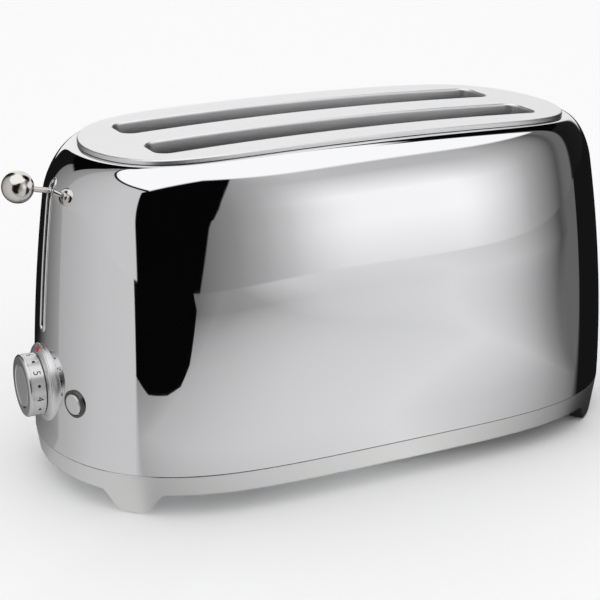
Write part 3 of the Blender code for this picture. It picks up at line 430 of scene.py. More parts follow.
def end_tree(tree, given, geometry):
    """Every tree ends the same way: real meshes in place of instances, with the finish on."""
    real = node(tree, "GeometryNodeRealizeInstances", {}, {"Geometry": geometry})[0]
    dressed = node(tree, "GeometryNodeSetMaterial", {}, {"Geometry": real, "Material": given["Finish"]})[0]
    node(tree, "NodeGroupOutput", {}, {"Geometry": dressed})


def grid_mesh(name, around, up, closed_up=False):
    """A tube of faces, closed round its outline, whose points carry two numbers: around and up."""
    mesh = bpy.data.meshes.new(name)
    rows, columns = len(up), len(around)
    faces = []
    for i in range(rows if closed_up else rows - 1):
        for j in range(columns):
            n, u = (j + 1) % columns, (i + 1) % rows
            faces.append((i * columns + j, i * columns + n, u * columns + n, u * columns + j))
    mesh.from_pydata([(0, 0, 0)] * (rows * columns), [], faces)
    carry(mesh, "around", np.tile(around, rows))
    carry(mesh, "up", np.repeat(up, columns))
    return mesh


# %% The rules of the outline, as expressions on sockets
def signed_power(value, power):
    return value.call("SIGN") * abs(value) ** power


def outline_point(angle, half, power):
    """x and y on |x/a|^n + |y/b|^m = 1 at an angle. Halves and powers may be numbers or sockets."""
    x = signed_power(angle.call("COSINE"), 2 / power[0]) * half[0]
    y = signed_power(angle.call("SINE"), 2 / power[1]) * half[1]
    return x, y


def through_sections(z, values):
    """The smooth curve through the seam, waist and shoulder values, at a height."""
    z0, z1, z2 = SEAM_Z, WAIST_Z, SHOULDER_Z
    return ((z - z1) * (z - z2) * (values[0] / ((z0 - z1) * (z0 - z2)))
            + (z - z0) * (z - z2) * (values[1] / ((z1 - z0) * (z1 - z2)))
            + (z - z0) * (z - z1) * (values[2] / ((z2 - z0) * (z2 - z1))))


def slope_at_shoulder(k):
    """How much the wall draws in per metre of height where the shoulder starts."""
    step = 0.1 * MM
    sections = (SEAM_HALF[k], WAIST_HALF[k], SHOULDER_HALF[k])
    return (through_sections(SHOULDER_Z, sections) - through_sections(SHOULDER_Z - step, sections)) / step


SHOULDER_SLOPE = [slope_at_shoulder(k) for k in (0, 1)]
RIM_RISE = PLATE_TOP - RIM_DROP - SHOULDER_Z


def crown_height(x):
    return PLATE_TOP - CROWN_DROP * (x / CROWN_REACH) ** 2


def shell_tree():
    tree, given = new_tree("pressed_shell", Flange=RIM_FLANGE)
    around, up = carried(tree, "around"), carried(tree, "up")
    side_z = up.call("MINIMUM", 1.0) * (SHOULDER_Z - SEAM_Z) + SEAM_Z
    bend = (up - 1.0).call("MAXIMUM", 0.0).call("MINIMUM", 1.0) * (math.pi / 2)
    flange = (up - 2.0).call("MAXIMUM", 0.0) * given["Flange"]
    inward = 1 - bend.call("COSINE").call("MAXIMUM", 0.0) ** (2 / SHOULDER_ROUND)
    risen = bend.call("SINE") ** (2 / SHOULDER_ROUND)
    half, power = [], []
    for k in (0, 1):
        side = through_sections(side_z, (SEAM_HALF[k], WAIST_HALF[k], SHOULDER_HALF[k]))
        leaned = RIM_RISE * SHOULDER_SLOPE[k]
        drawn_in = PLATE_HALF[k] + RIM_MARGIN - SHOULDER_HALF[k] - leaned
        half.append(side + risen * leaned + inward * drawn_in - flange)
        power.append(BODY_POWER[k] + inward * (PLATE_POWER[k] - BODY_POWER[k]))
    x, y = outline_point(around, half, power)
    z = side_z + (crown_height(x) - RIM_DROP - side_z) * risen
    return tree, given, moved_to(tree, given, x + BODY_X, y, z)


print("outline rules are ready")

# %% [markdown]
# Now the grid itself. Even steps of the angle would crowd the corners and starve the long sides, so the
# angles are spaced by both length and turning along the outline. Extra columns and rows run through the
# lever's slot, where the tree then deletes the faces inside a round-ended slot; a trim ring covers the cut.

# %% Where the shell's rows and columns run
LEVER_SLOT_Z, LEVER_SLOT_HALF, TRIM_RADIUS = (0.1024, 0.1886), 3.55 * MM, 1.2 * MM
SHELL_WALL, CUT_MARGIN = 0.8 * MM, 0.2 * MM
CORNER_WEIGHT = 1.2


def outline_angles(quarter_steps, slot_columns=()):
    """Angles round the body's outline, even in length and turning, with extra ones beside the slot."""
    fine = np.linspace(0, math.pi / 2, 4001)
    x = SEAM_HALF[0] * np.abs(np.cos(fine)) ** (2 / BODY_POWER[0])
    y = SEAM_HALF[1] * np.abs(np.sin(fine)) ** (2 / BODY_POWER[1])
    dx, dy = np.diff(x), np.diff(y)
    length, heading = np.hypot(dx, dy), np.unwrap(np.arctan2(dy, dx))
    turning = np.abs(np.gradient(heading))
    crowding = CORNER_WEIGHT * turning / turning.sum()
    travel = np.concatenate([[0], np.cumsum(length / length.sum() + crowding)])
    quarter = np.interp(np.linspace(0, travel[-1], quarter_steps + 1), travel, fine)
    quarter[0], quarter[-1] = 0, math.pi / 2
    half = np.concatenate([quarter, math.pi - quarter[-2::-1]])
    full = np.concatenate([half, math.pi + half[1:-1]])
    beside = [math.pi + side * math.asin((w / SEAM_HALF[1]) ** (BODY_POWER[1] / 2))
              for w in slot_columns for side in (-1, 1)]
    return np.unique(np.round(np.concatenate([full, beside]), 7))


columns = outline_angles(44, np.arange(0.8, 6.5, 0.8) * MM)
side_z = np.concatenate([
    np.linspace(SEAM_Z + SEAM_GAP / 2, 0.097, 20), np.linspace(0.098, 0.106, 10),
    np.linspace(0.109, 0.176, 20), [SHOULDER_Z]])
side_up = (side_z - SEAM_Z) / (SHOULDER_Z - SEAM_Z)
rows = np.concatenate([side_up, 1 + np.linspace(0, 1, 45)[1:], 2 + np.linspace(0, 1, 5)[1:]])
shell_grid = grid_mesh("shell_grid", columns, rows)
print("the shell's grid:", len(columns), "columns and", len(rows), "rows")

# %% Press the shell
tree, given, wall = shell_tree()
place = node(tree, "GeometryNodeInputPosition")[0]
spot = node(tree, "ShaderNodeSeparateXYZ", {}, {"Vector": place})
past_end = (LEVER_SLOT_Z[0] - spot["Z"]).call("MAXIMUM", spot["Z"] - LEVER_SLOT_Z[1])
reach = (past_end.call("MAXIMUM", 0.0) ** 2 + spot["Y"] * spot["Y"]) ** 0.5
in_slot = (reach < LEVER_SLOT_HALF + CUT_MARGIN) * (spot["X"] < 0.0)
opened = node(tree, "GeometryNodeDeleteGeometry", {"domain": "FACE"},
              {"Geometry": wall, "Selection": in_slot})[0]
end_tree(tree, given, opened)
shell = grow("shell_skin", shell_grid, tree, {"Flange": RIM_FLANGE}, CHROME)


# %% Helpers that finish a piece
def smooth(piece, sharp_angle=None):
    piece.data.shade_smooth()
    if sharp_angle:
        piece.data.set_sharp_from_angle(angle=math.radians(sharp_angle))


def thicken(piece, wall):
    """Gives an open surface a wall on its inner side."""
    step = piece.modifiers.new("wall", "SOLIDIFY")
    step.thickness = wall
    step.offset = -1
    step.use_even_offset = True


def seat(piece, body, slot, *solids):
    """Puts a piece on its body and hides the solids that it stands for; the slot it is given is not used."""
    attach(piece, body)
    if solids:
        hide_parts(*solids)


def settle(piece):
    """Applies the modifiers, so that the piece is a plain mesh."""
    mesh = evaluated(piece)
    piece.modifiers.clear()
    piece.data = mesh


thicken(shell, SHELL_WALL)
settle(shell)
smooth(shell, 50)
seat(shell, "housing", "chrome", "outer_shell")
print("shell box, mm:", [[round(c * 1000, 1) for c in shell.bound_box[k]] for k in (0, 6)])

# %% [markdown]
# The top plate is a satin pressing with two long slots whose edges roll down into the toaster. The flat part
# starts as a filled 2D curve, because Blender fills an outline with holes by itself. Cutting it into strips
# across X lets it follow the crown. Its three edges are then rolled: each boundary loop is swept outwards and
# down through an arc, and carried on as a wall.

# %% Plate and slot sizes
SLOT_Y, SLOT_HALF, SLOT_CORNER = 0.0293, (0.1320, 0.0156), 0.0085
PLATE_ROLL, LIP_ROLL = 1.3 * MM, 1.6 * MM
LIP_BOTTOM = 0.2040


def rounded_slot(side, grown=0.0, corner_steps=10):
    """Plan points of a bread slot, counter-clockwise, with its corners as arcs."""
    length, width, corner = SLOT_HALF[0] + grown, SLOT_HALF[1] + grown, SLOT_CORNER + grown
    points = []
    for quarter, (sx, sy) in enumerate(((1, 1), (-1, 1), (-1, -1), (1, -1))):
        for k in range(corner_steps + 1):
            angle = (quarter + k / corner_steps) * math.pi / 2
            points.append((BODY_X + sx * (length - corner) + corner * math.cos(angle),
                           side * SLOT_Y + sy * (width - corner) + corner * math.sin(angle)))
    return points


def plate_outline(inset, steps=48):
    """Plan points of the plate's edge, moved inwards by inset along their normals."""
    (a, b), (n, m) = PLATE_HALF, PLATE_POWER
    points = []
    for angle in outline_angles(steps):
        c, s = math.cos(angle), math.sin(angle)
        x, y = a * math.copysign(abs(c) ** (2 / n), c), b * math.copysign(abs(s) ** (2 / m), s)
        nx = math.copysign((abs(x) / a) ** (n - 1) / a, x)
        ny = math.copysign((abs(y) / b) ** (m - 1) / b, y)
        long = math.hypot(nx, ny)
        points.append((BODY_X + x - inset * nx / long, y - inset * ny / long))
    return points


def cut_across(bm, places):
    """Cuts a mesh into strips, at places along X."""
    for x in places:
        every = bm.verts[:] + bm.edges[:] + bm.faces[:]
        bmesh.ops.bisect_plane(bm, geom=every, plane_co=(x, 0, 0), plane_no=(1, 0, 0), dist=1e-7)


def filled_sheet(outlines, strip=0.004):
    """A flat mesh inside the first outline and outside the others, cut into strips across X."""
    curve = bpy.data.curves.new("sheet_outline", "CURVE")
    curve.dimensions = "2D"
    curve.fill_mode = "BOTH"
    for points in outlines:
        line = curve.splines.new("POLY")
        line.points.add(len(points) - 1)
        for spot, (x, y) in zip(line.points, points):
            spot.co = (x, y, 0, 1)
        line.use_cyclic_u = True
    holder = new_piece("sheet_outline", curve)
    flat = evaluated(holder)
    bpy.data.objects.remove(holder)
    bm = bmesh.new()
    bm.from_mesh(flat)
    bmesh.ops.remove_doubles(bm, verts=bm.verts, dist=1e-6)
    low = min(v.co.x for v in bm.verts)
    high = max(v.co.x for v in bm.verts)
    cut_across(bm, [low + k * strip for k in range(1, int((high - low) / strip))])
    for face in bm.faces:
        if face.normal.z < 0:
            face.normal_flip()
    return bm


def boundary_loops(bm):
    """Each boundary as a ring of vertices, in the order in which its faces run."""
    after = {}
    for edge in bm.edges:
        if edge.is_boundary:
            loop = edge.link_loops[0]
            after[loop.vert] = loop.link_loop_next.vert
    loops = []
    while after:
        start = next(iter(after))
        ring = [start]
        here = after.pop(start)
        while here is not start:
            ring.append(here)
            here = after.pop(here)
        loops.append(ring)
    return loops


def outward_directions(ring):
    """Plan directions pointing away from the sheet, at each vertex of a boundary."""
    spots = [Vector((v.co.x, v.co.y)) for v in ring]
    out = []
    for k, spot in enumerate(spots):
        ahead = (spots[(k + 1) % len(spots)] - spot).normalized()
        behind = (spot - spots[k - 1]).normalized()
        run = (ahead + behind).normalized()
        out.append(Vector((run.y, -run.x)))
    return out


def roll_edge(bm, ring, radius, bottom, steps=6):
    """Sweeps a boundary out and down through a quarter circle, then straight down to bottom(vertex)."""
    out = outward_directions(ring)
    starts = [v.co.copy() for v in ring]
    previous = ring
    for k in range(1, steps + 2):
        angle = math.pi / 2 * min(k, steps) / steps
        row = []
        for start, away in zip(starts, out):
            spot = start + Vector((*away, 0)) * radius * math.sin(angle)
            spot.z -= radius * (1 - math.cos(angle))
            if k > steps:
                spot.z = bottom(spot)
            row.append(bm.verts.new(spot))
        for j in range(len(ring)):
            n = (j + 1) % len(ring)
            bm.faces.new((previous[j], row[j], row[n], previous[n]))
        previous = row


# %% Press the plate
sheet = filled_sheet([plate_outline(PLATE_ROLL), rounded_slot(-1, LIP_ROLL), rounded_slot(1, LIP_ROLL)])
for vert in sheet.verts:
    vert.co.z = crown_height(vert.co.x - BODY_X)
for ring in boundary_loops(sheet):
    is_edge = max(v.co.y for v in ring) - min(v.co.y for v in ring) > 4 * SLOT_HALF[1]
    if is_edge:
        roll_edge(sheet, ring, PLATE_ROLL, lambda spot: crown_height(spot.x - BODY_X) - RIM_DROP + 0.3 * MM)
    else:
        roll_edge(sheet, ring, LIP_ROLL, lambda spot: LIP_BOTTOM)
plate_mesh = bpy.data.meshes.new("crowned_plate")
sheet.to_mesh(plate_mesh)
sheet.free()
plate = new_piece("crowned_plate", plate_mesh, SATIN_PLATE)
smooth(plate)
seat(plate, "housing", "satin_steel", "top_plate")
print("plate has", len(plate_mesh.polygons), "faces")

# %% [markdown]
# The base is a zinc casting in satin grey: a skirt that leans inwards, four feet that flare out of it like
# bells, and a rolled lower edge. One closed section is carried round the outline, so the whole ring is a
# single skin. The lower edge follows one rule: it stands at the skirt's bottom, and within a foot's width it
# drops as a cosine. Each column carries its distance from the nearest foot, along the outline.

# %% Base sizes
BASE_Z, BASE_INSET, SKIRT_WALL = 0.0137, 1.8 * MM, 4.2 * MM
FOOT_SPOT, FOOT_HALF, FOOT_FLARE = (0.1670, 0.0716), 6.9 * MM, 14.9 * MM
FOOT_DEPTH, FOOT_Z = 10 * MM, 0.9 * MM
SKIRT_TOP = SEAM_Z - SEAM_GAP / 2
ROLL = 1.0 * MM
TRAY_HALF, TRAY_Z, TRAY_END, TRAY_GAP = 0.0607, 0.0163, 0.1763, 0.3 * MM
OPENING_START, PAST_END, PAST_SEAM = 0.120, 0.230, 0.040


def foot_distance(angles):
    """How far each angle's point is from the nearest foot's middle, measured along the outline."""
    fine = np.linspace(0, math.pi / 2, 4001)
    x = SEAM_HALF[0] * np.cos(fine).clip(0) ** (2 / BODY_POWER[0])
    y = SEAM_HALF[1] * np.sin(fine) ** (2 / BODY_POWER[1])
    run = np.concatenate([[0], np.cumsum(np.hypot(np.diff(x), np.diff(y)))])
    middle = run[np.argmin(np.hypot(x - FOOT_SPOT[0], y - FOOT_SPOT[1]))]
    folded = np.abs((np.asarray(angles) + math.pi / 2) % math.pi - math.pi / 2)
    return np.abs(np.interp(folded, fine, run) - middle)


def section_points():
    """A closed skirt section. Each point has four numbers: inset, drop below the skirt's top as a share, lift
    over the lower edge, and how much of a foot's extra depth it takes."""
    points = [(SKIRT_WALL, 0, 0, 0), (0.5 * MM, 0, 0, 0), (0.15 * MM, 0.012, 0, 0)]
    points += [(0, share, 0, 0) for share in np.linspace(0.03, 0.96, 12)]
    for k in range(6):
        turn = math.pi / 2 * k / 5
        points.append((ROLL * (1 - math.cos(turn)), 1, ROLL * (1 - math.sin(turn)), 0))
    for k in range(5):
        turn = math.pi / 2 * k / 4
        points.append((SKIRT_WALL - ROLL * (1 - math.sin(turn)), 1, ROLL * (1 - math.cos(turn)), 1))
    return points


def base_tree():
    """A ring of the skirt. Around is the outline's angle, and the section's numbers are attributes too."""
    tree, given = new_tree("base_ring", Foot=1.0)
    along, share, lift, depth = (carried(tree, key) for key in ("along", "share", "lift", "depth"))
    x, y = outline_point(carried(tree, "around"), SEAM_HALF, BODY_POWER)
    (a, b), (n, m) = SEAM_HALF, BODY_POWER
    out_x = signed_power(x, n - 1) * (n / a ** n)
    out_y = signed_power(y, m - 1) * (m / b ** m)
    length = (out_x * out_x + out_y * out_y) ** 0.5
    out_x, out_y = out_x / length, out_y / length
    bell = ((along - FOOT_HALF) * (1 / FOOT_FLARE)).call("MAXIMUM", 0.0).call("MINIMUM", 1.0)
    foot = ((bell * math.pi).call("COSINE") + 1.0) * 0.5 * given["Foot"]
    low = BASE_Z - foot * (BASE_Z - FOOT_Z)
    z = SKIRT_TOP - share * (SKIRT_TOP - low) + lift
    lean = (SKIRT_TOP - z) * (BASE_INSET / (SKIRT_TOP - BASE_Z))
    inside = (foot * 20.0).call("MINIMUM", 1.0) * depth
    inset = carried(tree, "inset") + lean + inside * (FOOT_DEPTH - SKIRT_WALL)
    end_tree(tree, given, moved_to(tree, given, x - out_x * inset + BODY_X, y - out_y * inset, z))
    return tree


def section_grid(name, angles, points):
    mesh = grid_mesh(name, angles, np.arange(len(points), dtype=float), closed_up=True)
    for key, values in zip(("inset", "share", "lift", "depth"), np.array(points, dtype=float).T):
        carry(mesh, key, np.repeat(values, len(angles)))
    carry(mesh, "along", np.tile(foot_distance(angles), len(points)))
    return mesh


# %% Cast the base
def box_tool(name, low, high):
    """A block for a Boolean; it is removed once used."""
    mesh = reworked(bpy.data.meshes.new(name), lambda bm: bmesh.ops.create_cube(bm, size=1.0))
    for vert in mesh.vertices:
        vert.co = [l + (c + 0.5) * (h - l) for c, l, h in zip(vert.co, low, high)]
    return new_piece(name, mesh)


def carve(piece, tool, operation="DIFFERENCE"):
    step = piece.modifiers.new("carve", "BOOLEAN")
    step.operation, step.solver, step.object = operation, "EXACT", tool
    settle(piece)
    bpy.data.objects.remove(tool)


def face_out(piece):
    reworked(piece.data, lambda bm: bmesh.ops.recalc_face_normals(bm, faces=bm.faces))


BASE_TREE = base_tree()
base_angles = outline_angles(130)
skirt = grow("cast_skirt", section_grid("skirt_grid", base_angles, section_points()), BASE_TREE,
             {"Foot": 1.0}, SATIN_BASE)
face_out(skirt)
carve(skirt, box_tool("tray_opening", (BODY_X + OPENING_START, -TRAY_HALF - TRAY_GAP, TRAY_Z),
                      (BODY_X + PAST_END, TRAY_HALF + TRAY_GAP, PAST_SEAM)))
smooth(skirt, 30)
seat(skirt, "housing", "base_grey", "base_skirt")

tray_front = grow("tray_front", section_grid("tray_grid", base_angles, [
    (SKIRT_WALL * 4, 0, 0, 0), (0.5 * MM, 0, 0, 0), (0.15 * MM, 0.012, 0, 0),
    (0, 0.03, 0, 0), (0, 0.5, 0, 0), (0, 0.98, 0, 0), (0.15 * MM, 1, 0, 0), (0.5 * MM, 1.03, 0, 0),
    (SKIRT_WALL * 4, 1.03, 0, 0)]), BASE_TREE, {"Foot": 0.0}, SATIN_BASE)
face_out(tray_front)
carve(tray_front, box_tool("tray_block", (BODY_X + TRAY_END, -TRAY_HALF, TRAY_Z + TRAY_GAP),
                           (BODY_X + PAST_END, TRAY_HALF, PAST_SEAM)), "INTERSECT")
smooth(tray_front, 30)
seat(tray_front, "crumb_tray", "base_grey", "crumb_tray_front")
print("skirt faces:", len(skirt.data.polygons), "tray front faces:", len(tray_front.data.polygons))

# %% [markdown]
# The lever leaves the body through a tall slot, edged by a thin polished wire. The wire's path is a capsule
# in side view that lies on the curved end of the body, so its depth is read off the shell's own sections.
# Curve nodes then sweep a circle along it.

# %% Places on the body's end
def end_x(y, z):
    """How far the body's end reaches along -X from its middle, at a place on it."""
    def reach(half, power):
        return half[0] * (1 - min(1.0, (abs(y) / half[1]) ** power[1])) ** (1 / power[0])

    if z <= SHOULDER_Z:
        half = [through_sections(z, (SEAM_HALF[k], WAIST_HALF[k], SHOULDER_HALF[k])) for k in (0, 1)]
        return reach(half, BODY_POWER)
    risen = (z - SHOULDER_Z) / (PLATE_TOP - CROWN_DROP * 1.6 - RIM_DROP - SHOULDER_Z)
    bend = math.asin(risen ** (SHOULDER_ROUND / 2))
    inward = 1 - math.cos(bend) ** (2 / SHOULDER_ROUND)
    half = []
    for k in (0, 1):
        leaned = RIM_RISE * SHOULDER_SLOPE[k]
        half.append(SHOULDER_HALF[k] + risen * leaned
                    + inward * (PLATE_HALF[k] + RIM_MARGIN - SHOULDER_HALF[k] - leaned))
    power = [BODY_POWER[k] + inward * (PLATE_POWER[k] - BODY_POWER[k]) for k in (0, 1)]
    return reach(half, power)


def loop_mesh(name, points):
    mesh = bpy.data.meshes.new(name)
    mesh.from_pydata(points, [(k, (k + 1) % len(points)) for k in range(len(points))], [])
    return mesh


def swept_tree():
    """A round wire along any path of edges."""
    tree, given = new_tree("round_wire", Radius=0.001, Sides=12.0)
    line = node(tree, "GeometryNodeMeshToCurve", {}, {"Mesh": given["Geometry"]})[0]
    circle = node(tree, "GeometryNodeCurvePrimitiveCircle", {"mode": "RADIUS"},
                  {"Resolution": given["Sides"], "Radius": given["Radius"]})[0]
    swept = node(tree, "GeometryNodeCurveToMesh", {},
                 {"Curve": line, "Profile Curve": circle, "Fill Caps": True})[0]
    end_tree(tree, given, swept)
    return tree


WIRE_TREE = swept_tree()

# %% Lever slot trim
def capsule_path(low, high, radius, turns=16, straights=40):
    """Side view of the slot: y and z of a round-ended loop."""
    loop = []
    for start, here, there in ((0.0, high, low), (math.pi, low, high)):
        for k in range(turns + 1):
            angle = start + math.pi * k / turns
            loop.append((radius * math.cos(angle), here + radius * math.sin(angle)))
        side = -radius if start == 0.0 else radius
        loop += [(side, here + (there - here) * k / straights) for k in range(1, straights)]
    return loop


TRIM_SUNK = 0.5 * MM
trim_path = [(BODY_X - end_x(y, z) + TRIM_SUNK, y, z)
             for y, z in capsule_path(*LEVER_SLOT_Z, LEVER_SLOT_HALF)]
trim = grow("slot_trim", loop_mesh("slot_path", trim_path), WIRE_TREE,
            {"Radius": TRIM_RADIUS, "Sides": 16.0}, CHROME)
face_out(trim)
smooth(trim)
seat(trim, "housing", "chrome", "lever_slot_trim")

# %% [markdown]
# Turned pieces come next. Each is a profile, a list of radii and heights, taken round its axis as on a lathe.
# The lever's ball is polished nickel with a small flat where the stem screws in.

# %% A lathe
def lathe(name, look, profile, at, along, steps=96, ring=False):
    """Turns (radius, height) points round an axis. Heights run along the axis, outwards."""
    mesh = bpy.data.meshes.new(name)
    turn = Vector((0, 0, 1)).rotation_difference(Vector(along)).to_matrix().to_4x4()
    place = Matrix.Translation(at) @ turn
    verts, rows = [], []
    for radius, height in profile:
        count = 1 if radius < 1e-7 else steps
        rows.append(list(range(len(verts), len(verts) + count)))
        for k in range(count):
            angle = 2 * math.pi * k / steps
            verts.append(place @ Vector((radius * math.cos(angle), radius * math.sin(angle), height)))
    faces = []
    pairs = list(zip(rows, rows[1:])) + ([(rows[-1], rows[0])] if ring else [])
    for upper, lower in pairs:
        for k in range(steps):
            n = (k + 1) % steps
            corners = [row[j % len(row)] for row, j in ((upper, k), (lower, k), (lower, n), (upper, n))]
            corners = list(dict.fromkeys(corners))
            if len(corners) > 2:
                faces.append(corners)
    mesh.from_pydata(verts, [], faces)
    piece = new_piece(name, mesh, look)
    face_out(piece)
    smooth(piece, 30)
    return piece


def arc(centre, radius, start, end, steps=8):
    """Profile points on an arc, angles in degrees from the radial direction."""
    return [(centre[0] + radius * math.cos(math.radians(a)), centre[1] + radius * math.sin(math.radians(a)))
            for a in np.linspace(start, end, steps + 1)]


# %% Ball and stem
BALL_SPOT, BALL_RADIUS, STEM_RADIUS, STEM_TILT = (-0.2045, 0.1902), 9.65 * MM, 1.7 * MM, math.radians(12.9)
stem_way = Vector((math.cos(STEM_TILT), 0, -math.sin(STEM_TILT)))
ball_centre = Vector((BODY_X + BALL_SPOT[0], 0, BALL_SPOT[1]))
flat = math.degrees(math.acos(2.6 * MM / BALL_RADIUS))
seat_height = BALL_RADIUS * 0.975
ball_profile = [(0, -BALL_RADIUS), *arc((0, 0), BALL_RADIUS, -90, flat, 48)[1:], (2.4 * MM, seat_height),
                (0, seat_height)]
ball = lathe("ball_grip", NICKEL, ball_profile, ball_centre, stem_way)
seat(ball, "carriage", "chrome", "lever_ball")
stem_end = (BODY_X - 0.1693 - ball_centre.x) / stem_way.x
stem = lathe("turned_stem", NICKEL, [
    (0, stem_end), (STEM_RADIUS - 0.2 * MM, stem_end), (STEM_RADIUS, stem_end - 0.2 * MM),
    (STEM_RADIUS, BALL_RADIUS * 0.6), (0, BALL_RADIUS * 0.6)], ball_centre, stem_way, 32)
seat(stem, "carriage", "chrome", "lever_stem")
print("ball at", [round(v * 1000, 1) for v in ball_centre], "mm")

# %% [markdown]
# The browning knob sits on a turned flange and carries the stop button in its middle. The knob's face is a
# narrow ring with a polished round edge. Its numbers are printed on the band behind that edge, 49 degrees
# apart, with a dot between each two, and stand with their tops towards the body.

# %% Knob, stop button and flange
KNOB_Z, KNOB_FACE, KNOB_RADIUS, KNOB_BACK = 0.0650, -0.2106, 19.5 * MM, -0.2000
STOP_RADIUS, FLANGE_RADIUS, FLANGE_FACE = 12.9 * MM, 24.8 * MM, -0.1996
KNOB_DEPTH = KNOB_BACK - KNOB_FACE
knob_spot, knob_way = Vector((BODY_X + KNOB_FACE, 0, KNOB_Z)), (-1, 0, 0)
KNOB_ROUND = 1.7 * MM
knob = lathe("turned_knob", SATIN_KNOB, [
    (STOP_RADIUS + 0.3 * MM, -5.0 * MM), (STOP_RADIUS + 0.3 * MM, -0.7 * MM), (STOP_RADIUS + 0.9 * MM, 0),
    *arc((KNOB_RADIUS - KNOB_ROUND, -KNOB_ROUND), KNOB_ROUND, 90, 0, 10),
    (KNOB_RADIUS, -2.2 * MM), (KNOB_RADIUS - 0.25 * MM, -2.35 * MM), (KNOB_RADIUS - 0.25 * MM, -2.6 * MM),
    (KNOB_RADIUS - 0.1 * MM, -2.7 * MM), (KNOB_RADIUS - 0.1 * MM, -KNOB_DEPTH + 0.5 * MM),
    (KNOB_RADIUS - 0.6 * MM, -KNOB_DEPTH), (3.3 * MM, -KNOB_DEPTH), (3.3 * MM, -5.0 * MM)],
    knob_spot, knob_way, 160, ring=True)
seat(knob, "knob", "satin_steel", "browning_knob")
stop = lathe("stop_cap", BUTTON_FACE, [
    (0, -0.35 * MM), (6 * MM, -0.3 * MM), (STOP_RADIUS - 1.2 * MM, -0.2 * MM),
    *arc((STOP_RADIUS - 0.6 * MM, -0.8 * MM), 0.6 * MM, 90, 0, 6),
    (STOP_RADIUS, -3.2 * MM), (1.3 * MM, -3.2 * MM), (1.3 * MM, -26.4 * MM), (0, -26.4 * MM)],
    knob_spot, knob_way, 128)
seat(stop, "stop_button", "light_plastic", "stop_button")
flange_z = KNOB_FACE - FLANGE_FACE
flange = lathe("turned_flange", SATIN_FLANGE, [
    (5 * MM, flange_z), (20.2 * MM, flange_z), (20.6 * MM, flange_z - 0.1 * MM),
    (22.9 * MM, flange_z - 0.75 * MM), (23.3 * MM, flange_z - 1.0 * MM), (23.9 * MM, flange_z - 1.35 * MM),
    *arc((FLANGE_RADIUS - 0.8 * MM, flange_z - 2.6 * MM), 0.8 * MM, 80, 0, 6),
    (FLANGE_RADIUS, -17 * MM), (5 * MM, -17 * MM)], knob_spot, knob_way, 160, ring=True)
core_grid = grid_mesh("core_grid", outline_angles(44), np.linspace(0.05, 0.7, 14))
core_tree, core_given, core_wall = shell_tree()
end_tree(core_tree, core_given, core_wall)
core = grow("body_core", core_grid, core_tree, {"Flange": 0.0}, CHROME)
reworked(core.data, lambda bm: bmesh.ops.holes_fill(
    bm, edges=[e for e in bm.edges if e.is_boundary], sides=0))
face_out(core)
carve(flange, core)
smooth(flange, 30)
seat(flange, "housing", "satin_steel", "knob_flange")
print("knob", len(knob.data.polygons), "faces, flange", len(flange.data.polygons))

# %% Index mark
def rounded_block(name, look, low, high, radius, steps=3):
    """A block with rounded edges."""
    block = box_tool(name, low, high)
    reworked(block.data, lambda bm: bmesh.ops.bevel(
        bm, geom=bm.edges[:], offset=radius, segments=steps, profile=0.5, affect="EDGES"))
    block.data.materials.append(look)
    smooth(block, 40)
    return block


INDEX_HALF, INDEX_Z, INDEX_X = 1.5 * MM, (20.9 * MM, 23.9 * MM), (-0.2 * MM, 1.6 * MM)
index = rounded_block("index_mark", INDEX_RED, *(
    (BODY_X + FLANGE_FACE + INDEX_X[k], (-INDEX_HALF, INDEX_HALF)[k], KNOB_Z + INDEX_Z[k])
    for k in (0, 1)), 0.35 * MM)
seat(index, "housing", "red_paint", "dial_index")

# %% Numbers and dots on the band
DIAL_STEP, LAST_MARK = 49.0, 5.4
BAND_MIDDLE, DIGIT_HEIGHT, DOT_RADIUS = -6.4 * MM, 4.4 * MM, 0.95 * MM
PRINT_RADIUS, PRINT_DEPTH, PRINT_STRIP = KNOB_RADIUS - 0.1 * MM, 0.25 * MM, 0.3 * MM


def digit_mesh(text):
    """A digit as a thin solid: x across, y up, z through its thickness, centred."""
    curve = bpy.data.curves.new("digit", "FONT")
    curve.body = text
    curve.extrude = 0.5
    curve.resolution_u = 6
    holder = new_piece("digit", curve)
    mesh = evaluated(holder)
    bpy.data.objects.remove(holder)
    spots = np.array([v.co for v in mesh.vertices])
    middle = (spots.max(0) + spots.min(0)) / 2
    size = DIGIT_HEIGHT / (spots[:, 1].max() - spots[:, 1].min())
    mesh.transform(Matrix.Diagonal((size, size, PRINT_DEPTH, 1)) @ Matrix.Translation(-Vector(middle)))
    return mesh


def dot_mesh():
    return reworked(bpy.data.meshes.new("dot"), lambda bm: bmesh.ops.create_cone(
        bm, cap_ends=True, segments=20, radius1=DOT_RADIUS, radius2=DOT_RADIUS, depth=PRINT_DEPTH))


def wrapped(mesh, angle):
    """Bends a flat print round the knob's band. Angles run from the top towards the near side."""
    reworked(mesh, lambda bm: cut_across(bm, [k * PRINT_STRIP for k in range(-10, 11)]))
    for vert in mesh.vertices:
        across, up, out = vert.co
        turn = math.radians(angle) + across / PRINT_RADIUS
        radius = PRINT_RADIUS - 0.1 * MM + out
        vert.co = (knob_spot.x - BAND_MIDDLE + up, -radius * math.sin(turn), KNOB_Z + radius * math.cos(turn))
    return mesh


prints = bmesh.new()
for k in range(6):
    for flat_print, turn in ((digit_mesh(str(6 - k)), k), (dot_mesh(), k + 0.5)):
        if turn < LAST_MARK:
            prints.from_mesh(wrapped(flat_print, turn * DIAL_STEP))
bmesh.ops.remove_doubles(prints, verts=prints.verts, dist=1e-7)
bmesh.ops.recalc_face_normals(prints, faces=prints.faces)
print_mesh = bpy.data.meshes.new("dial_print")
prints.to_mesh(print_mesh)
prints.free()
dial_print = new_piece("dial_print", print_mesh, PAINT)
seat(dial_print, "knob", "dark_plastic")
print("dial print has", len(print_mesh.polygons), "faces")

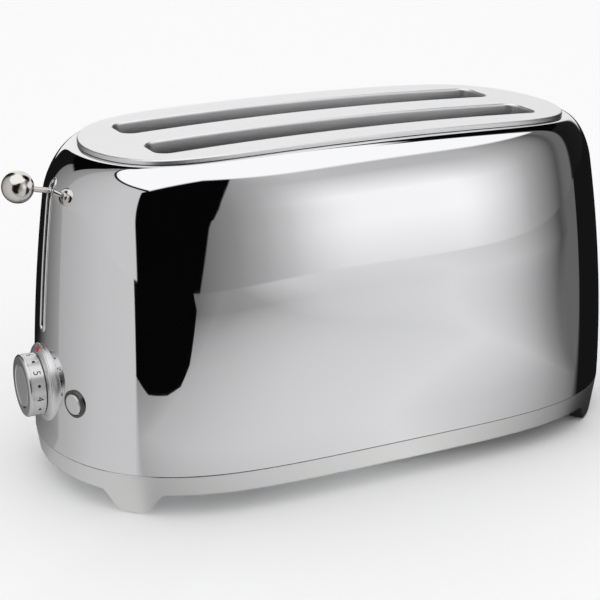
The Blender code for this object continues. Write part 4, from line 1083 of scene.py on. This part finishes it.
# %% Function buttons, one each side of the knob
BUTTON_Y, BUTTON_Z, BUTTON_RADIUS, BEZEL_RADIUS = 41.2 * MM, 64.9 * MM, 6.5 * MM, 8.6 * MM
BEZEL_PROUD, BUTTON_PROUD = 1.2 * MM, 2.2 * MM
BUTTON_TURN = math.atan2(0.3813, 0.9244)
for side, tag in ((-1, "near"), (1, "far")):
    way = Vector((-math.cos(BUTTON_TURN), side * math.sin(BUTTON_TURN), 0))
    spot = Vector((BODY_X - end_x(BUTTON_Y, BUTTON_Z), side * BUTTON_Y, BUTTON_Z))
    bezel = lathe(f"turned_bezel_{tag}", BEZEL_METAL, [
        (BUTTON_RADIUS + 0.3 * MM, BEZEL_PROUD - 0.4 * MM), (BUTTON_RADIUS + 0.6 * MM, BEZEL_PROUD),
        (BEZEL_RADIUS - 0.8 * MM, BEZEL_PROUD),
        *arc((BEZEL_RADIUS - 0.6 * MM, BEZEL_PROUD - 0.6 * MM), 0.6 * MM, 90, 0, 5),
        (BEZEL_RADIUS, -1.6 * MM), (BUTTON_RADIUS + 0.3 * MM, -1.6 * MM)], spot, way, 72, ring=True)
    seat(bezel, "housing", "dark_plastic", f"button_bezel_{tag}")
    cap = lathe(f"button_cap_{tag}", BUTTON_FACE, [
        (0, BUTTON_PROUD), (BUTTON_RADIUS - 1.8 * MM, BUTTON_PROUD - 0.1 * MM),
        *arc((BUTTON_RADIUS - 1.1 * MM, BUTTON_PROUD - 1.25 * MM), 1.1 * MM, 80, 0, 6),
        (BUTTON_RADIUS, -3.5 * MM), (2 * MM, -3.5 * MM), (2 * MM, -6 * MM), (0, -6 * MM)], spot, way, 72)
    seat(cap, f"function_button_{tag}", "light_plastic", f"function_button_{tag}")
print("buttons turned")

# %% [markdown]
# Polished steel has no look of its own: it shows the room. A product photographer therefore builds a small
# room out of cards, and what looks like shading on the body is really their picture. This studio does the
# same. A large dome stands for the tent and its cards, painted by direction: white overhead, grey to the
# left, a black card left of the middle, a lamp's glow right of it and black behind the right end. A second
# card lies on the table and gives the greys that the lower half of the body mirrors. Both are seen only in
# reflections, so they neither light the toaster nor show in the picture.

# %% Tones of the studio
SHEEN = 0.87
BLACK = 5


def tone(value):
    """The light that polished steel must mirror to show this 8-bit grey."""
    share = value / 255
    linear = share / 12.92 if share < 0.04045 else ((share + 0.055) / 1.055) ** 2.4
    return linear / SHEEN


def by_azimuth(tree, azimuth, tones):
    """A grey for each direction round the toaster. Degrees from the near side, positive to the right."""
    stops = [((degree + 180) / 360, (tone(value),) * 3) for degree, value in tones]
    factor = (azimuth + 180.0) * (1 / 360)
    ramp = node(tree, "ShaderNodeValToRGB", {"stops": stops}, {"Fac": factor})
    return node(tree, "ShaderNodeSeparateColor", {}, {"Color": ramp["Color"]})[0]


def clamped(value, low=0.0, high=1.0):
    return value.call("MAXIMUM", low).call("MINIMUM", high)


def beyond(value, edge, soft=1.0):
    """0 below the edge and 1 above it, over a soft width."""
    return clamped((value - edge) * (1 / soft) + 0.5)


def between(value, low, high, soft=1.0):
    return beyond(value, low, soft) * (1.0 - beyond(value, high, soft))


def blend(share, first, second):
    return first + (second - first) * share


def degrees_round(x, y):
    """Direction in plan: 0 is straight out of the long side, positive to its right."""
    return x.call("ARCTAN2", y * -1.0) * (180 / math.pi)


def glowing(look, tree, strength):
    """A card that shines with a painted strength."""
    light = node(tree, "ShaderNodeEmission", {}, {"Strength": strength})["Emission"]
    node(tree, "ShaderNodeOutputMaterial", {}, {"Surface": light})
    return look


def only_mirrored(card):
    """Keeps a card out of the picture and out of the lighting."""
    for ray in ("camera", "diffuse", "transmission", "volume_scatter", "shadow"):
        setattr(card, "visible_" + ray, False)


# %% The dome
DOME_RADIUS = 5.0
LEFT_GREYS = [
    (-180, 20), (-160, 20), (-159, 116), (-136, 150), (-135, 168), (-112, 184), (-75, 197), (-57, 197)]
BACK_GREYS = [(71, 100), (79, 104), (80.5, 22), (122, 30), (128, 225), (180, 235)]
ROOM_GREYS = [
    *LEFT_GREYS, (-15, 110), (3, 138), (12, 154), (20, 172), (28, 188), (42, 178), (52, 145), (66, 78),
    *BACK_GREYS]
GLOW_GREYS = [
    *LEFT_GREYS, (-15, 100), (3, 136), (12, 164), (18, 192), (26, 244), (33, 248), (41, 208), (48, 165),
    (53, 142), (66, 80), *BACK_GREYS]


def dome_paint():
    look, tree, place = blank_finish("studio_dome")
    spot = node(tree, "ShaderNodeSeparateXYZ", {}, {"Vector": place})
    azimuth = degrees_round(spot["X"], spot["Y"])
    height = (spot["Z"] * (1 / DOME_RADIUS)).call("ARCSINE") * (180 / math.pi)

    # the lamp's glow, strongest above the horizon
    glow = clamped(0.6 + height * 0.06) * (1.0 - beyond(height, 26.0, 16.0))
    room = blend(glow, by_azimuth(tree, azimuth, ROOM_GREYS), by_azimuth(tree, azimuth, GLOW_GREYS))

    # the black card left of the middle, whose right edge leans
    right_edge = clamped(height, 0.0, 18.0) * 0.68 + (clamped(height, 18.0, 45.0) - 18.0) * 0.5 - 14.5
    card_top = (azimuth + 5.0).call("MINIMUM", 0.0) * 0.27 + 43.0
    card = between(azimuth, -56.6, right_edge, 0.8) * (1.0 - beyond(height, card_top, 1.0))
    room = blend(card, room, tone(BLACK))

    # the white ceiling, and how low it comes: lowest over the left, highest behind
    left = between(azimuth, -150.0, -50.0, 1.0)
    brim = (azimuth + 50.0) * -0.27 + 31.0
    behind = between(abs(azimuth), 76.0, 181.0, 2.0) * (1.0 - left)
    brim = blend(left, card_top, brim)
    brim = blend(behind, brim, 62.0)
    # two black cards behind, and a thin black line under the ceiling on the left
    dark_corner = between(azimuth, -181.0, -148.0, 1.0) * between(height, 26.0, 62.0, 2.0)
    room = blend(dark_corner, room, tone(BLACK))
    rim_card = between(azimuth, 80.0, 124.0, 1.0) * between(height, 32.0, 62.0, 2.0)
    room = blend(rim_card, room, tone(BLACK))
    room = blend(beyond(height, brim, 2.0), room, tone(250))
    edge = left * between(height - brim, -1.6, 0.2, 0.5)
    return glowing(look, tree, blend(edge, room, tone(BLACK)))


dome_mesh = reworked(bpy.data.meshes.new("studio_dome"), lambda bm: bmesh.ops.create_uvsphere(
    bm, u_segments=96, v_segments=64, radius=DOME_RADIUS))
dome_mesh.flip_normals()
dome = new_piece("studio_dome", dome_mesh, dome_paint())
only_mirrored(dome)

# %% The card on the table
TABLE_NEAR = [
    (-180, 150), (-40, 150), (-18, 165), (6, 197), (27, 217), (36, 199), (54, 144), (66, 108), (72, 97),
    (81, 98), (180, 98)]
TABLE_FAR = [
    (-180, 104), (-14, 104), (0, 140), (15, 199), (27, 216), (36, 198), (51, 139), (63, 74), (70, 96),
    (180, 100)]
TABLE_LEFT = [
    (-180, 20), (-168, 20), (-152, 116), (-136, 150), (-135, 168), (-110, 182), (-90, 192), (-60, 196),
    (180, 196)]
NEAR_RING, NEAR_TURN = 0.15, 21.0
BODY_REACH, FRONT_REACH = 0.17, 0.04
CARD_LINE = ((-0.223, -0.120), 0.60)
RIGHT_LINE = ((0.300, -0.113), -0.135)


def ground_paint():
    look, tree, place = blank_finish("studio_table")
    spot = node(tree, "ShaderNodeSeparateXYZ", {}, {"Vector": place})
    x = spot["X"] - clamped(spot["X"] * 4.0, -1.0, 1.0) * BODY_REACH
    y = spot["Y"] + FRONT_REACH
    azimuth = degrees_round(x, y)
    far = clamped(((x * x + y * y) ** 0.5 / NEAR_RING).call("LOGARITHM", 10.0))
    turned = azimuth + (1.0 - far) * NEAR_TURN
    right = blend(far, by_azimuth(tree, turned, TABLE_NEAR), by_azimuth(tree, turned, TABLE_FAR))
    left = by_azimuth(tree, azimuth, TABLE_LEFT)

    def above(line):
        (x0, y0), slope = line
        return beyond(spot["Y"] - (spot["X"] - x0) * slope, y0, 0.012)

    grey = blend(above(CARD_LINE) * (1.0 - beyond(spot["X"], 0.0, 0.01)), right, left)
    grey = blend(above(RIGHT_LINE) * beyond(spot["X"], 0.0, 0.01), grey, tone(20))
    return glowing(look, tree, grey)


def flat_card(name, corners, height, look):
    mesh = bpy.data.meshes.new(name)
    mesh.from_pydata([(x, y, height) for x, y in corners], [], [range(len(corners))])
    return new_piece(name, mesh, look)


table = flat_card("table_card", [(-5, -5), (5, -5), (5, 5), (-5, 5)], 0.2 * MM, ground_paint())
only_mirrored(table)
black_look, tree, place = blank_finish("black_card")
black_card = flat_card("black_card", [
    (-0.46, -0.262), (-0.35, -0.255), (-0.29, -0.30), (-0.265, -0.36), (-0.28, -0.50), (-0.60, -1.8),
    (-1.6, -4.9), (-4.9, -4.9), (-4.9, -2.93)], 0.4 * MM, glowing(black_look, tree, tone(BLACK)))
only_mirrored(black_card)

# %% [markdown]
# The picture's own light is plain: a white world from all sides. The floor is white and catches the soft
# shadow under the body.

# %% Floor and world
floor_look, tree, place = blank_finish("white_floor")
surface(tree, {"Base Color": (0.98, 0.98, 0.98), "Roughness": 0.8})
floor = flat_card("floor", [(-6, -6), (6, -6), (6, 6), (-6, 6)], 0.0, floor_look)

world = bpy.data.worlds.new("studio")
world.use_nodes = True
scene.world = world
background = world.node_tree.nodes["Background"]
background.inputs["Color"].default_value = (1, 1, 1, 1)
background.inputs["Strength"].default_value = 1.0
scene.view_settings.view_transform = "Standard"
print("stage:", dome.name, table.name, black_card.name, floor.name)
